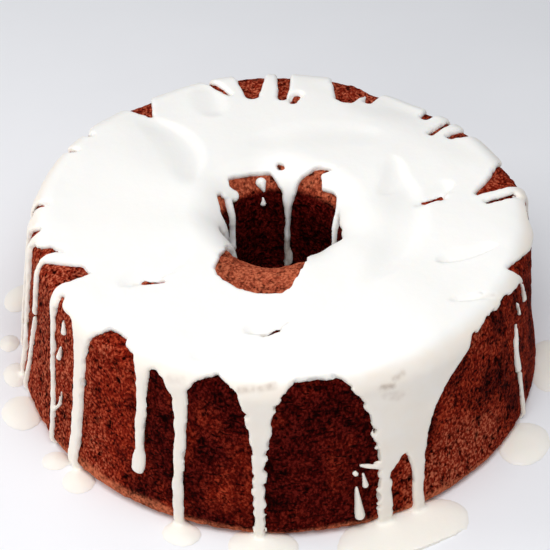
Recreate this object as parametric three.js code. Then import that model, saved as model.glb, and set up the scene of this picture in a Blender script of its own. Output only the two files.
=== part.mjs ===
// A chocolate angel food cake with a poured white glaze, built in millimetres with +Z up. The cake was
// baked in a tube pan and turned out upside down, so its side flares towards the foot and its hole narrows.
// The origin is the centre of the base, on the surface that the cake stands on, and the front faces -Y.
//
// The skin of the cake is described by two coordinates. The azimuth goes round the axis, in degrees, from 0
// at the front through +90 at the right. The run goes along the cake's profile, in millimetres: it is 0
// where the flat top ends, grows over the rim and down the side, and is negative across the top, over the
// lip and down the hole. The sponge is that skin made solid, and the glaze is a sheet laid on part of it.

import * as THREE from 'three';

// The baked sponge.
const HEIGHT = 82;
const TOP_RADIUS = 115;
const WALL_FLARE = THREE.MathUtils.degToRad(8.3);
const RIM_ROUND = 9;
const FOOT_ROUND = 5;
const HOLE_RADIUS = 27;
const HOLE_TAPER = THREE.MathUtils.degToRad(4);
const LIP_ROUND = 17;
const HOLE_FOOT_ROUND = 3;
const UNEVENNESS = 0.8;

// The swells and hollows of its skin, each with a count round the cake, a start, a pitch down it and a share.
const WAVES = [
  { count: 3, start: 0.9, pitch: 70, share: 0.62 },
  { count: 5, start: -1.7, pitch: -45, share: 0.44 },
  { count: 9, start: 2.1, pitch: 30, share: 0.38 },
];
const FOOT_CALM = 15;
const HOLE_CALM = 30;

// How far the rim has settled, at some azimuths. It starts on the top, and ends part of the way down the side.
const SETTLED_LINE = [[-180, 0], [100, 0], [118, 1.2], [134, 1.4], [146, 3], [154, 3], [161, 0.4], [170, 0]];
const SETTLED_TOP = 25;
const SETTLED_END = 65;
const SETTLED_FADE = 40;

// How far the side bulges out under the rim, at some azimuths. It is full at one run and gone by another.
const BULGE_LINE = [[-180, 0], [74, 0], [85, 2.1], [97, 2.3], [112, 0]];
const BULGE_FULL = 10;
const BULGE_END = 62;

// The poured glaze.
const GLAZE_THICKNESS = 2.1;
const GLAZE_EDGE_THICKNESS = 0.9;
const GLAZE_EDGE_WIDTH = 3.5;
const GLAZE_GAP = 0.45;
const DRIP_END_HEIGHT = 6;
const HOLE_DRIP_END = 8;

// How round the corners are where a drip leaves the sheet, and where a gap is cut.
const MELD = 4.5;
const CUT_ROUND = 2;

// A drip is widest down to the flare's top, has its given flare at the flare's middle, and then narrows.
const FLARE_TOP = 4;
const FLARE_MIDDLE = 10;
const FLARE_FALL = 9;
const BULB_LENGTH = 14;
const BULB_BLEND = 8;

// The glaze that ran down onto the surface under the cake.
const POOL_THICKNESS = 1.4;
const POOL_CLEARANCE = 0.4;
const POOL_EDGE = 0.45;
const POOL_SHOULDER = 0.7;
const POOL_WAVE = 0.06;

// The glaze's faces: how far they go past the ends of the drips, the length of a drip's tip, the width of
// the top's outer band, which has the gaps in it, and the least depth of a corner inside the glaze's edge.
const BEYOND = 2;
const DRIP_TIP = 4;
const NOTCHED_WIDTH = 20;
const LEAST_INSIDE = 0.15;

// How many faces the solids get.
const SPONGE_COLUMNS = 72;
const POOL_SIDES = 12;

// How far the sheet hangs over the rim (positive) or stops short of it, at some azimuths.
const RIM_LINE = [
  [-180, 7], [-150, 9], [-128, 9], [-100, 10], [-80, 7], [-68, 2], [-60, 8], [-50, 9], [-41, 2], [-33, 8],
  [-27, 7.5], [-21, 8], [-14.5, 4], [-4, 8], [5, 4.5], [12, 4.5], [26, 12], [48, 8], [60, 8.5], [68, 11],
  [90, 11], [118, 8], [148, 7],
];

// How far the sheet goes from the inner edge of the flat top towards the hole, and over its lip.
const LIP_LINE = [
  [-180, 16], [-170, 11], [-151, 10], [-138, 8], [-131, 12], [-126, 17], [-118, 11.5], [-105, 15], [-90, 17],
  [-70, 16], [-55, 14], [-45, 9], [-40, 2], [-35.5, -5], [-30, -8.5], [-21, -11], [-2, -10.5], [5, -6],
  [12, 0], [17, 8], [24, 13], [45, 14], [57, 11], [75, 14], [100, 15], [122, 12.5], [138, 14], [145, 9],
  [147.5, 4], [157, 8], [164, 11], [172, 17],
];

// A drip leaves the sheet at an azimuth and follows the side down to its reach, a run, or to the foot.
// Its thread has a width. Left and right say how much wider it starts on each side, and fall how fast that
// narrows. Bulb is the width of a swollen end, and lean how far it drifts round on the way.
const TO_FOOT = Infinity;
const DRIPS = [
  { azimuth: -155, width: 6, reach: 58, bulb: 7.4, left: 6, right: 5 },
  { azimuth: -146, width: 5, reach: 42, bulb: 6.5, left: 3, right: 3 },
  { azimuth: -130, width: 6, reach: TO_FOOT, left: 5, right: 5 },
  { azimuth: -120, width: 4.5, reach: 33, bulb: 6, left: 3, right: 2 },
  { azimuth: -106, width: 6, reach: TO_FOOT, left: 7, right: 4 },
  { azimuth: -96, width: 4, reach: 52, bulb: 5.5, left: 3, right: 2 },
  { azimuth: -88, width: 3.6, reach: TO_FOOT, left: 4, right: 3 },
  { azimuth: -81, width: 3.2, reach: TO_FOOT, lean: 6, left: 2, right: 1 },
  { azimuth: -73.3, width: 3.2, reach: TO_FOOT, lean: 2.5, start: -9 },
  { azimuth: -61.4, width: 3.6, reach: TO_FOOT, lean: 4.2, left: 1, right: 4 },
  { azimuth: -48.4, width: 6.8, reach: TO_FOOT, left: 3, right: 4 },
  { azimuth: -30.1, width: 5, reach: 66.5, bulb: 6.8, left: 4, right: 2 },
  { azimuth: -20.9, width: 6, reach: TO_FOOT, left: 4, right: 4 },
  { azimuth: -3.9, width: 6.4, reach: TO_FOOT, left: 7.5, right: 8, fall: 14 },
  { azimuth: 25.9, width: 23.8, reach: TO_FOOT, left: 8, right: 29, fall: 16 },
  { azimuth: 71.3, width: 4.8, reach: TO_FOOT, lean: -5.5, left: 2, right: 1 },
  { azimuth: 99.8, width: 5, reach: 56, bulb: 6.6, left: 1.5, right: 1.5 },
  { azimuth: 117, width: 5.2, reach: 60, bulb: 7, left: 6, right: 5 },
  { azimuth: 134, width: 5.6, reach: TO_FOOT, left: 3, right: 4 },
  { azimuth: 147, width: 5.6, reach: 34, bulb: 7, left: 5, right: 4 },
  { azimuth: 171, width: 5.4, reach: TO_FOOT, left: 3, right: 2 },
  { azimuth: -176.8, width: 5.4, reach: 48, bulb: 6.6, left: 1, right: 1 },
  { azimuth: -166.5, width: 4, reach: 25, bulb: 5.2 },
];

// Drips down the hole. Their reach is measured from the inner edge of the flat top.
const HOLE_DRIPS = [
  { azimuth: 172.6, width: 4.4, reach: 74, left: 6, right: 5 },
  { azimuth: -128, width: 3.2, reach: 42, lean: 10, left: 2, right: 3 },
  { azimuth: -92, width: 5, reach: 38, left: 4, right: 4 },
  { azimuth: -58, width: 4.6, reach: 32, left: 4, right: 3 },
  { azimuth: 108, width: 3.4, reach: 42, lean: -14, left: 3, right: 3 },
  { azimuth: -164, width: 5, reach: 16.5 },
];

// Bare gaps in the sheet. Each is a slot from one place to another, as azimuth, run and width.
const GAPS = [
  { from: [-140, -4, 1.5], to: [-139.5, 14, 20] },
  { from: [-164.8, -11, 1.8], to: [-160.2, 6, 3.4] },
  { from: [-171.5, -13.5, 6], to: [-172, 8, 18] },
  { from: [179, -16, 4.6], to: [179, 8, 6.8] },
  { from: [175.6, -20, 3], to: [174.9, -15, 4.8] },
  { from: [159.8, -10, 10], to: [161, 10, 26] },
  { from: [153.6, -7, 3.6], to: [154.5, 8, 10] },
  { from: [137, 2, 3], to: [137, 12, 7] },
  { from: [129, -11, 2], to: [131, 9, 2.8] },
  { from: [124.6, -5, 3.6], to: [124, 12, 10] },
  { from: [98.3, -13, 1.6], to: [105.5, 10, 19] },
  { from: [94.4, -10, 2], to: [96.6, 4.5, 2.6] },
  { from: [69.3, 3.5, 1.6], to: [76, 16, 17] },
  { from: [26.5, 52.5, 3], to: [26, 61, 10.2] },
  { from: [26, 61, 10.2], to: [26.1, 93, 9.6] },
  { from: [-63.3, -10.5, 1.6], to: [-66.8, 10, 14.5] },
  { from: [-74.2, -3.5, 2], to: [-76.8, 8, 4.6] },
  { from: [-59.6, 7, 2.2], to: [-55, 14, 5] },
  { from: [-124, 6, 2], to: [-124, 16, 6] },
];

// Pools of glaze round the foot: azimuth, distance of the middle from the axis, and size along and across.
const POOLS = [
  { azimuth: 24.3, distance: 134, along: 32.5, across: 17 },
  { azimuth: -3.2, distance: 130, along: 16.4, across: 10.2 },
  { azimuth: -19.3, distance: 130.5, along: 9.3, across: 7.5 },
  { azimuth: -44.6, distance: 129.5, along: 8.4, across: 8 },
  { azimuth: -52.2, distance: 130.4, along: 6.6, across: 6.6 },
  { azimuth: -68, distance: 131, along: 12, across: 10 },
  { azimuth: -79.5, distance: 129.5, along: 9, across: 6.5 },
  { azimuth: -89.4, distance: 133, along: 6.5, across: 5.4 },
  { azimuth: -103.6, distance: 135.5, along: 11, across: 7.8 },
  { azimuth: -130, distance: 130, along: 9, across: 7 },
  { azimuth: 171, distance: 132, along: 11, across: 8.6 },
  { azimuth: 134, distance: 130, along: 9, across: 7 },
  { azimuth: 83, distance: 131, along: 19, across: 9.2 },
  { azimuth: 59, distance: 132.5, along: 15, across: 12 },
];

const SPONGE_FINISH = new THREE.MeshStandardMaterial({ color: 0x6b2a1a, roughness: 0.95, metalness: 0 });
const GLAZE_FINISH = new THREE.MeshStandardMaterial({ color: 0xf4f1ea, roughness: 0.3, metalness: 0 });

const radians = THREE.MathUtils.degToRad;

// The stretches of the profile, one after the other, each with its length.
const LIP_ARC = LIP_ROUND * (Math.PI / 2 - HOLE_TAPER);
const RIM_ARC = RIM_ROUND * (Math.PI / 2 - WALL_FLARE);
const TOP_OUTER = TOP_RADIUS - RIM_ROUND;
const TOP_INNER = HOLE_RADIUS + LIP_ROUND;
const TOP_WIDTH = TOP_OUTER - TOP_INNER;
const WALL_TOP_HEIGHT = HEIGHT - RIM_ROUND * (1 - Math.sin(WALL_FLARE));
const WALL_FOOT_HEIGHT = FOOT_ROUND * (1 + Math.sin(WALL_FLARE));
const WALL_LENGTH = (WALL_TOP_HEIGHT - WALL_FOOT_HEIGHT) / Math.cos(WALL_FLARE);
const FOOT_ARC = FOOT_ROUND * (Math.PI / 2 + WALL_FLARE);
const HOLE_TOP_HEIGHT = HEIGHT - LIP_ROUND * (1 - Math.sin(HOLE_TAPER));
const HOLE_FOOT_HEIGHT = HOLE_FOOT_ROUND * (1 + Math.sin(HOLE_TAPER));
const HOLE_LENGTH = (HOLE_TOP_HEIGHT - HOLE_FOOT_HEIGHT) / Math.cos(HOLE_TAPER);
const HOLE_FOOT_ARC = HOLE_FOOT_ROUND * (Math.PI / 2 + HOLE_TAPER);
const WALL_END = RIM_ARC + WALL_LENGTH;
const HOLE_END = -TOP_WIDTH - LIP_ARC - HOLE_LENGTH;

const smooth = (share) => THREE.MathUtils.smoothstep(share, 0, 1);

// A point of an arc round (radius, height), with its outward normal at an angle above the horizontal.
function arcPoint(radius, height, round, angle) {
  const normal = new THREE.Vector2(Math.cos(angle), Math.sin(angle));
  return { radius: radius + round * normal.x, height: height + round * normal.y, normal };
}

// The outer half of the profile: the flat top, the rim, the side and the foot.
function outerProfile(run) {
  if (run <= 0) return { radius: TOP_OUTER + run, height: HEIGHT, normal: new THREE.Vector2(0, 1) };
  const rimAngle = Math.PI / 2 - Math.min(run, RIM_ARC) / RIM_ROUND;
  const rim = arcPoint(TOP_OUTER, HEIGHT - RIM_ROUND, RIM_ROUND, rimAngle);
  if (run <= RIM_ARC) return rim;
  const down = Math.min(run - RIM_ARC, WALL_LENGTH);
  const radius = rim.radius + down * Math.sin(WALL_FLARE);
  const height = rim.height - down * Math.cos(WALL_FLARE);
  if (run <= WALL_END) return { radius, height, normal: rim.normal };
  const footAngle = WALL_FLARE - Math.min(run - WALL_END, FOOT_ARC) / FOOT_ROUND;
  return arcPoint(radius - FOOT_ROUND * rim.normal.x, FOOT_ROUND, FOOT_ROUND, footAngle);
}

// The inner half of the profile: the lip, the wall of the hole and its foot, by the run past the flat top.
function innerProfile(past) {
  const lipAngle = Math.PI / 2 + Math.min(past, LIP_ARC) / LIP_ROUND;
  const lip = arcPoint(TOP_INNER, HEIGHT - LIP_ROUND, LIP_ROUND, lipAngle);
  if (past <= LIP_ARC) return lip;
  const down = Math.min(past - LIP_ARC, HOLE_LENGTH);
  const radius = lip.radius - down * Math.sin(HOLE_TAPER);
  const height = lip.height - down * Math.cos(HOLE_TAPER);
  if (past <= LIP_ARC + HOLE_LENGTH) return { radius, height, normal: lip.normal };
  const turned = Math.min(past - LIP_ARC - HOLE_LENGTH, HOLE_FOOT_ARC) / HOLE_FOOT_ROUND;
  const centre = radius - HOLE_FOOT_ROUND * lip.normal.x;
  return arcPoint(centre, HOLE_FOOT_ROUND, HOLE_FOOT_ROUND, Math.PI - HOLE_TAPER + turned);
}

function profile(run) {
  return run > -TOP_WIDTH ? outerProfile(run) : innerProfile(-TOP_WIDTH - run);
}

// The long swells and hollows of a sponge that has settled. They fade out at the foot and down the hole.
function swell(azimuth, run) {
  const turn = radians(azimuth);
  let sum = 0;
  for (const { count, start, pitch, share } of WAVES) {
    sum += share * Math.sin(count * turn + start + run / pitch);
  }
  const waves = sum * smooth((WALL_END - run) / FOOT_CALM) * smooth((run - HOLE_END) / HOLE_CALM);
  return UNEVENNESS * waves + bulge(azimuth, run) - settled(azimuth, run);
}

// How far the rim has sunk, fading out across the top and down the side.
function settled(azimuth, run) {
  const above = smooth((run + SETTLED_TOP) / SETTLED_TOP);
  return lineValue(SETTLED_LINE, azimuth) * above * smooth((SETTLED_END - run) / SETTLED_FADE);
}

// How far the side stands out under the rim.
function bulge(azimuth, run) {
  const below = smooth((BULGE_END - run) / (BULGE_END - BULGE_FULL));
  return lineValue(BULGE_LINE, azimuth) * smooth(run / BULGE_FULL) * below;
}

// A point on the cake's skin, or lifted off it.
function skinPoint(azimuth, run, lift = 0) {
  const place = profile(run);
  const out = lift + swell(azimuth, run);
  const radius = place.radius + out * place.normal.x;
  const turn = radians(azimuth);
  return new THREE.Vector3(
    radius * Math.sin(turn),
    -radius * Math.cos(turn),
    place.height + out * place.normal.y,
  );
}

// The distance round the axis from one azimuth to another, along the skin.
function across(azimuth, from, run) {
  const turn = THREE.MathUtils.euclideanModulo(azimuth - from + 180, 360) - 180;
  return radians(turn) * profile(run).radius;
}

// A value from a line of [azimuth, value] pairs that starts at -180 and closes on itself.
function lineValue(line, azimuth) {
  const at = THREE.MathUtils.euclideanModulo(azimuth + 180, 360) - 180;
  const next = line.findIndex(([place]) => place > at);
  const [rightPlace, rightValue] = next < 0 ? [line[0][0] + 360, line[0][1]] : line[next];
  const [leftPlace, leftValue] = next < 0 ? line[line.length - 1] : line[next - 1];
  return leftValue + (rightValue - leftValue) * smooth((at - leftPlace) / (rightPlace - leftPlace));
}

// The larger of two values, with the corner between them filled in.
function meld(one, other, round) {
  const share = Math.max(round - Math.abs(one - other), 0) / round;
  return Math.max(one, other) + share * share * round / 4;
}

// Where a drip's middle line is at a distance down it.
function dripAzimuth(drip, down) {
  return drip.azimuth + (drip.lean ?? 0) * smooth(down / Math.min(drip.reach, WALL_END));
}

// How deep inside a drip a place is. Down is the run along the drip, and limit the lowest that it may end.
function insideDrip(drip, azimuth, run, down, limit) {
  const end = Math.min(drip.reach, limit);
  const bulb = (drip.bulb ?? drip.width) - drip.width;
  const half = (drip.width + bulb * smooth((down - end + BULB_LENGTH) / BULB_BLEND)) / 2;
  const offset = across(azimuth, dripAzimuth(drip, down), run);
  const flare = (offset < 0 ? drip.left : drip.right) ?? 0;
  const narrowed = (Math.max(down, FLARE_TOP) - FLARE_MIDDLE) / (drip.fall ?? FLARE_FALL);
  const wide = half + flare * Math.exp(-narrowed);
  const past = Math.max(0, down - (end - half));
  const before = Math.max(0, (drip.start ?? 0) - down);
  return wide - Math.hypot(offset, past, before);
}

// How deep inside a gap a place is: a slot whose width changes from one end to the other.
function insideGap(gap, azimuth, run) {
  const [fromAzimuth, fromRun, fromWidth] = gap.from;
  const [toAzimuth, toRun, toWidth] = gap.to;
  const place = new THREE.Vector2(across(azimuth, fromAzimuth, run), run - fromRun);
  const span = new THREE.Vector2(across(toAzimuth, fromAzimuth, run), toRun - fromRun);
  const share = THREE.MathUtils.clamp(place.dot(span) / span.lengthSq(), 0, 1);
  const half = (fromWidth + (toWidth - fromWidth) * share) / 2;
  return half - place.addScaledVector(span, -share).length();
}

// How deep inside the glazed part of the skin a place is, in millimetres. It is negative where the sponge
// is bare.
const DRIP_LIMIT = RIM_ARC + (WALL_TOP_HEIGHT - DRIP_END_HEIGHT) / Math.cos(WALL_FLARE);
const HOLE_LIMIT = -HOLE_END - TOP_WIDTH - HOLE_DRIP_END;
function insideGlaze(azimuth, run) {
  const past = -TOP_WIDTH - run;
  let inside = lineValue(RIM_LINE, azimuth) - run;
  for (const drip of DRIPS) {
    inside = meld(inside, insideDrip(drip, azimuth, run, run, DRIP_LIMIT), MELD);
  }
  let inner = lineValue(LIP_LINE, azimuth) - past;
  for (const drip of HOLE_DRIPS) {
    inner = meld(inner, insideDrip(drip, azimuth, run, past, HOLE_LIMIT), MELD);
  }
  inside = Math.min(inside, inner);
  for (const gap of GAPS) {
    inside = -meld(-inside, insideGap(gap, azimuth, run), CUT_ROUND);
  }
  return inside;
}

// A geometry from points and triangles of their numbers.
function geometryOf(points, triangles) {
  const geometry = new THREE.BufferGeometry();
  geometry.setAttribute('position', new THREE.Float32BufferAttribute(points.flatMap((p) => p.toArray()), 3));
  geometry.setIndex(triangles.flat());
  geometry.computeVertexNormals();
  return geometry;
}

// Evenly spread runs from one run to another, without the last.
function spread(from, to, steps) {
  return Array.from({ length: steps }, (_, step) => from + (to - from) * step / steps);
}

// The sponge: a ring of columns round the closed profile.
function spongeGeometry() {
  const runs = [
    ...spread(HOLE_END - HOLE_FOOT_ARC, HOLE_END, 2),
    ...spread(HOLE_END, -TOP_WIDTH - LIP_ARC, 3),
    ...spread(-TOP_WIDTH - LIP_ARC, -TOP_WIDTH, 4),
    ...spread(-TOP_WIDTH, 0, 3),
    ...spread(0, RIM_ARC, 4),
    ...spread(RIM_ARC, WALL_END, 5),
    ...spread(WALL_END, WALL_END + FOOT_ARC, 3),
    WALL_END + FOOT_ARC,
  ];
  const points = [];
  const triangles = [];
  const corner = (column, row) => (column % SPONGE_COLUMNS) * runs.length + (row % runs.length);
  for (let column = 0; column < SPONGE_COLUMNS; column += 1) {
    for (const run of runs) points.push(skinPoint(column * 360 / SPONGE_COLUMNS, run));
    for (let row = 0; row < runs.length; row += 1) {
      const [a, b] = [corner(column, row), corner(column + 1, row)];
      const [c, d] = [corner(column + 1, row + 1), corner(column, row + 1)];
      triangles.push([a, d, c], [a, c, b]);
    }
  }
  return geometryOf(points, triangles);
}

// A ring of places on the skin at one run. The place nearest to a drip moves onto its middle line.
function ringPlaces(run, count) {
  const azimuths = Array.from({ length: count }, (_, column) => column * 360 / count - 180);
  const onto = (drip, down) => {
    const middle = THREE.MathUtils.euclideanModulo(dripAzimuth(drip, down) + 180, 360);
    azimuths[Math.round(middle * count / 360) % count] = middle - 180;
  };
  if (run > 0) DRIPS.filter((drip) => drip.reach > run).forEach((drip) => onto(drip, run));
  const past = -TOP_WIDTH - run;
  if (past > LIP_ARC / 2) HOLE_DRIPS.filter((drip) => drip.reach > past).forEach((drip) => onto(drip, past));
  return azimuths.sort((a, b) => a - b).map((azimuth) => ({ azimuth, run }));
}

// The triangles between two rings that may have different counts.
function stitch(inner, outer, triangles) {
  let [i, j] = [0, 0];
  const azimuthAt = (ring, k) => ring[k % ring.length].azimuth + (k >= ring.length ? 360 : 0);
  while (i < inner.length || j < outer.length) {
    const here = [inner[i % inner.length], outer[j % outer.length]];
    const innerTurn = i < inner.length ? azimuthAt(inner, i + 1) : Infinity;
    const outerTurn = j < outer.length ? azimuthAt(outer, j + 1) : Infinity;
    if (innerTurn < outerTurn) {
      triangles.push([here[0], here[1], inner[(i + 1) % inner.length]]);
      i += 1;
    } else {
      triangles.push([here[0], here[1], outer[(j + 1) % outer.length]]);
      j += 1;
    }
  }
}

// The glaze: the skin's triangles are cut along the edge of the glazed part, and what is left is laid down
// twice, as the underside and as the top, and joined round its edge.
function glazeGeometry() {
  const stops = [
    { run: -TOP_WIDTH - HOLE_LIMIT - BEYOND, rows: 5, columns: 40 },
    { run: -TOP_WIDTH - LIP_ARC, rows: 4, columns: 44 },
    { run: -TOP_WIDTH, rows: 3, columns: 56 },
    { run: -NOTCHED_WIDTH, rows: 4, columns: 84 },
    { run: 0, rows: 2, columns: 104 },
    { run: RIM_ARC / 2, rows: 2, columns: 150 },
    { run: RIM_ARC, rows: 6, columns: 170 },
    { run: DRIP_LIMIT - DRIP_TIP, rows: 1, columns: 170 },
    { run: DRIP_LIMIT + BEYOND, rows: 1, columns: 170 },
  ];
  const rings = stops.flatMap(({ run, rows, columns }, number) => {
    const next = stops[number + 1] ?? stops[number];
    return spread(run, next.run, rows).map((place) => ringPlaces(place, columns));
  });
  const skin = [];
  for (let ring = 1; ring < rings.length; ring += 1) stitch(rings[ring - 1], rings[ring], skin);
  for (const place of rings.flat()) {
    const inside = insideGlaze(place.azimuth, place.run);
    place.inside = Math.max(Math.abs(inside), LEAST_INSIDE) * (inside < 0 ? -1 : 1);
    place.name = `${place.azimuth}/${place.run}`;
  }

  const numbers = new Map();
  const places = [];
  const numberOf = (place) => {
    if (!numbers.has(place.name)) {
      numbers.set(place.name, places.length);
      places.push(place);
    }
    return numbers.get(place.name);
  };
  const crossing = (one, other) => {
    const [a, b] = one.name < other.name ? [one, other] : [other, one];
    const share = a.inside / (a.inside - b.inside);
    const turn = THREE.MathUtils.euclideanModulo(b.azimuth - a.azimuth + 180, 360) - 180;
    const azimuth = a.azimuth + turn * share;
    return { name: `${a.name}|${b.name}`, azimuth, run: a.run + (b.run - a.run) * share, inside: 0 };
  };
  const kept = [];
  const edges = [];
  for (const triangle of skin) {
    const inside = triangle.filter((place) => place.inside > 0).length;
    if (inside === 0) continue;
    if (inside === 3) {
      kept.push(triangle.map(numberOf));
      continue;
    }
    const lone = triangle.findIndex((place) => (place.inside > 0) === (inside === 1));
    const [a, b, c] = [0, 1, 2].map((step) => triangle[(lone + step) % 3]);
    const [ab, ac] = [numberOf(crossing(a, b)), numberOf(crossing(a, c))];
    if (inside === 1) {
      kept.push([numberOf(a), ab, ac]);
      edges.push([ab, ac]);
    } else {
      kept.push([ab, numberOf(b), numberOf(c)], [ab, numberOf(c), ac]);
      edges.push([ac, ab]);
    }
  }

  const under = places.map(({ azimuth, run }) => skinPoint(azimuth, run, GLAZE_GAP));
  const over = places.map(({ azimuth, run, inside }) => {
    const rise = Math.sqrt(smooth(inside / GLAZE_EDGE_WIDTH));
    const thickness = THREE.MathUtils.lerp(GLAZE_EDGE_THICKNESS, GLAZE_THICKNESS, rise);
    return skinPoint(azimuth, run, GLAZE_GAP + thickness);
  });
  const top = (number) => number + places.length;
  const triangles = [
    ...kept.map(([a, b, c]) => [top(a), top(b), top(c)]),
    ...kept.map(([a, b, c]) => [a, c, b]),
    ...edges.flatMap(([a, b]) => [[top(b), top(a), a], [top(b), a, b]]),
  ];
  return geometryOf([...under, ...over], triangles);
}

// A pool: a low dome with a round edge, cut short where it meets the cake's foot.
function poolGeometry(pool) {
  const middle = new THREE.Vector2(0, -pool.distance);
  const nearest = profile(WALL_END).radius + POOL_CLEARANCE;
  const levels = [[1, 0], [1, POOL_EDGE], [POOL_SHOULDER, 0.9]];
  const points = [new THREE.Vector3(0, -pool.distance, 0)];
  for (const [spreadShare, rise] of levels) {
    for (let side = 0; side < POOL_SIDES; side += 1) {
      const turn = side / POOL_SIDES * 2 * Math.PI;
      const wave = 1 + POOL_WAVE * Math.sin(3 * turn + pool.azimuth);
      const place = new THREE.Vector2(pool.along * Math.cos(turn), pool.across * Math.sin(turn));
      place.multiplyScalar(spreadShare * wave).add(middle);
      const short = nearest + (1 - spreadShare) * 2 - place.length();
      if (short > 0) place.setLength(place.length() + short);
      points.push(new THREE.Vector3(place.x, place.y, rise * POOL_THICKNESS));
    }
  }
  points.push(new THREE.Vector3(0, -pool.distance, POOL_THICKNESS));
  const last = points.length - 1;
  const at = (level, side) => 1 + level * POOL_SIDES + side % POOL_SIDES;
  const triangles = [];
  for (let side = 0; side < POOL_SIDES; side += 1) {
    triangles.push([0, at(0, side + 1), at(0, side)]);
    for (let level = 1; level < levels.length; level += 1) {
      const [a, b] = [at(level - 1, side), at(level - 1, side + 1)];
      const [c, d] = [at(level, side + 1), at(level, side)];
      triangles.push([a, b, c], [a, c, d]);
    }
    triangles.push([last, at(levels.length - 1, side), at(levels.length - 1, side + 1)]);
  }
  return geometryOf(points, triangles);
}

const cake = new THREE.Group();

const sponge = new THREE.Mesh(spongeGeometry(), SPONGE_FINISH);
sponge.name = 'sponge';
cake.add(sponge);

const glaze = new THREE.Mesh(glazeGeometry(), GLAZE_FINISH);
glaze.name = 'glaze';
cake.add(glaze);

POOLS.forEach((pool, number) => {
  const mesh = new THREE.Mesh(poolGeometry(pool), GLAZE_FINISH.clone());
  mesh.name = `glaze_pool_${number + 1}`;
  mesh.rotation.z = radians(pool.azimuth);
  cake.add(mesh);
});

export default cake;
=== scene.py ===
"""A chocolate angel food cake with a poured white glaze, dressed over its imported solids.

Two coordinates describe the cake's skin, as they do for the solids. The azimuth goes round the axis, in
degrees, from 0 at the front (-Y) through +90 at the right (+X). The run goes along the cake's profile: it
is 0 where the flat top ends, grows over the rim and down the side, and is negative across the top, over
the lip and down the hole. Lengths are in millimetres until a mesh or a light is made from them.
"""

import itertools
import logging
import math
from dataclasses import dataclass
from enum import Enum
from functools import cached_property
from typing import Callable, NamedTuple

import bpy
import numpy as np
from mathutils import Matrix, Vector
from numpy.typing import NDArray


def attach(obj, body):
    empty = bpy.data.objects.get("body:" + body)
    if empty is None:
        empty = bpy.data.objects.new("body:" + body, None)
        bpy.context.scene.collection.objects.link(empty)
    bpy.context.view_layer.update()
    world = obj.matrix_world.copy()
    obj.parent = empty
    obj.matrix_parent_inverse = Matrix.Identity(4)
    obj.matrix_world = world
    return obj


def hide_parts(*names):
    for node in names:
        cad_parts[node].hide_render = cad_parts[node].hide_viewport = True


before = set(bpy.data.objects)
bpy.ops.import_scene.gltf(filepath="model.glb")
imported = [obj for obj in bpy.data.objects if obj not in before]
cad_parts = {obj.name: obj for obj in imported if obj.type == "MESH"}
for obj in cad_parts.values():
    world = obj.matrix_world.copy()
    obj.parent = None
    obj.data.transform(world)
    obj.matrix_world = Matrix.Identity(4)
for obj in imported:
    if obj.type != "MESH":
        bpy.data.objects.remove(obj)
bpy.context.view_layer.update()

Array = NDArray[np.float64]
Whole = NDArray[np.int64]
Colour = tuple[float, float, float]

MM = 0.001
FLOOR_GAP = 0.03
TO_FOOT = math.inf
LOG = logging.getLogger("cake")


class Way(Enum):
    """Where a drip runs to."""

    OUTER_SIDE = "down the outer side"
    HOLE = "down the hole"


# --------------------------------------------------------------------------------------------------------
# Small mathematics


def smooth(share: Array | float) -> Array:
    """A soft step from 0 to 1 as share goes from 0 to 1."""
    held = np.clip(share, 0.0, 1.0)
    return held * held * (3.0 - 2.0 * held)


def turn_between(azimuth: Array, start: Array | float) -> Array:
    """How many degrees, from -180 to 180, azimuth lies past start."""
    return (azimuth - start + 180.0) % 360.0 - 180.0


def meld(one: Array, other: Array, rounding: float) -> Array:
    """The larger of two values, with the corner between them filled in."""
    share = np.maximum(rounding - np.abs(one - other), 0.0) / rounding
    return np.maximum(one, other) + share * share * rounding / 4.0


def line_value(line: tuple[tuple[float, float], ...], azimuth: Array) -> Array:
    """A value from a closed line of places and values, eased from each to the next.

    Args:
        line: Pairs of azimuth and value. The first azimuth is -180.
        azimuth: Where the value is wanted, from -180 to 180.

    Returns:
        The value at each azimuth.
    """
    places = np.array([place for place, _ in line] + [line[0][0] + 360.0])
    values = np.array([value for _, value in line] + [line[0][1]])
    left = np.clip(np.searchsorted(places, azimuth, side="right") - 1, 0, len(line) - 1)
    share = smooth((azimuth - places[left]) / (places[left + 1] - places[left]))
    return values[left] + (values[left + 1] - values[left]) * share


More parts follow.
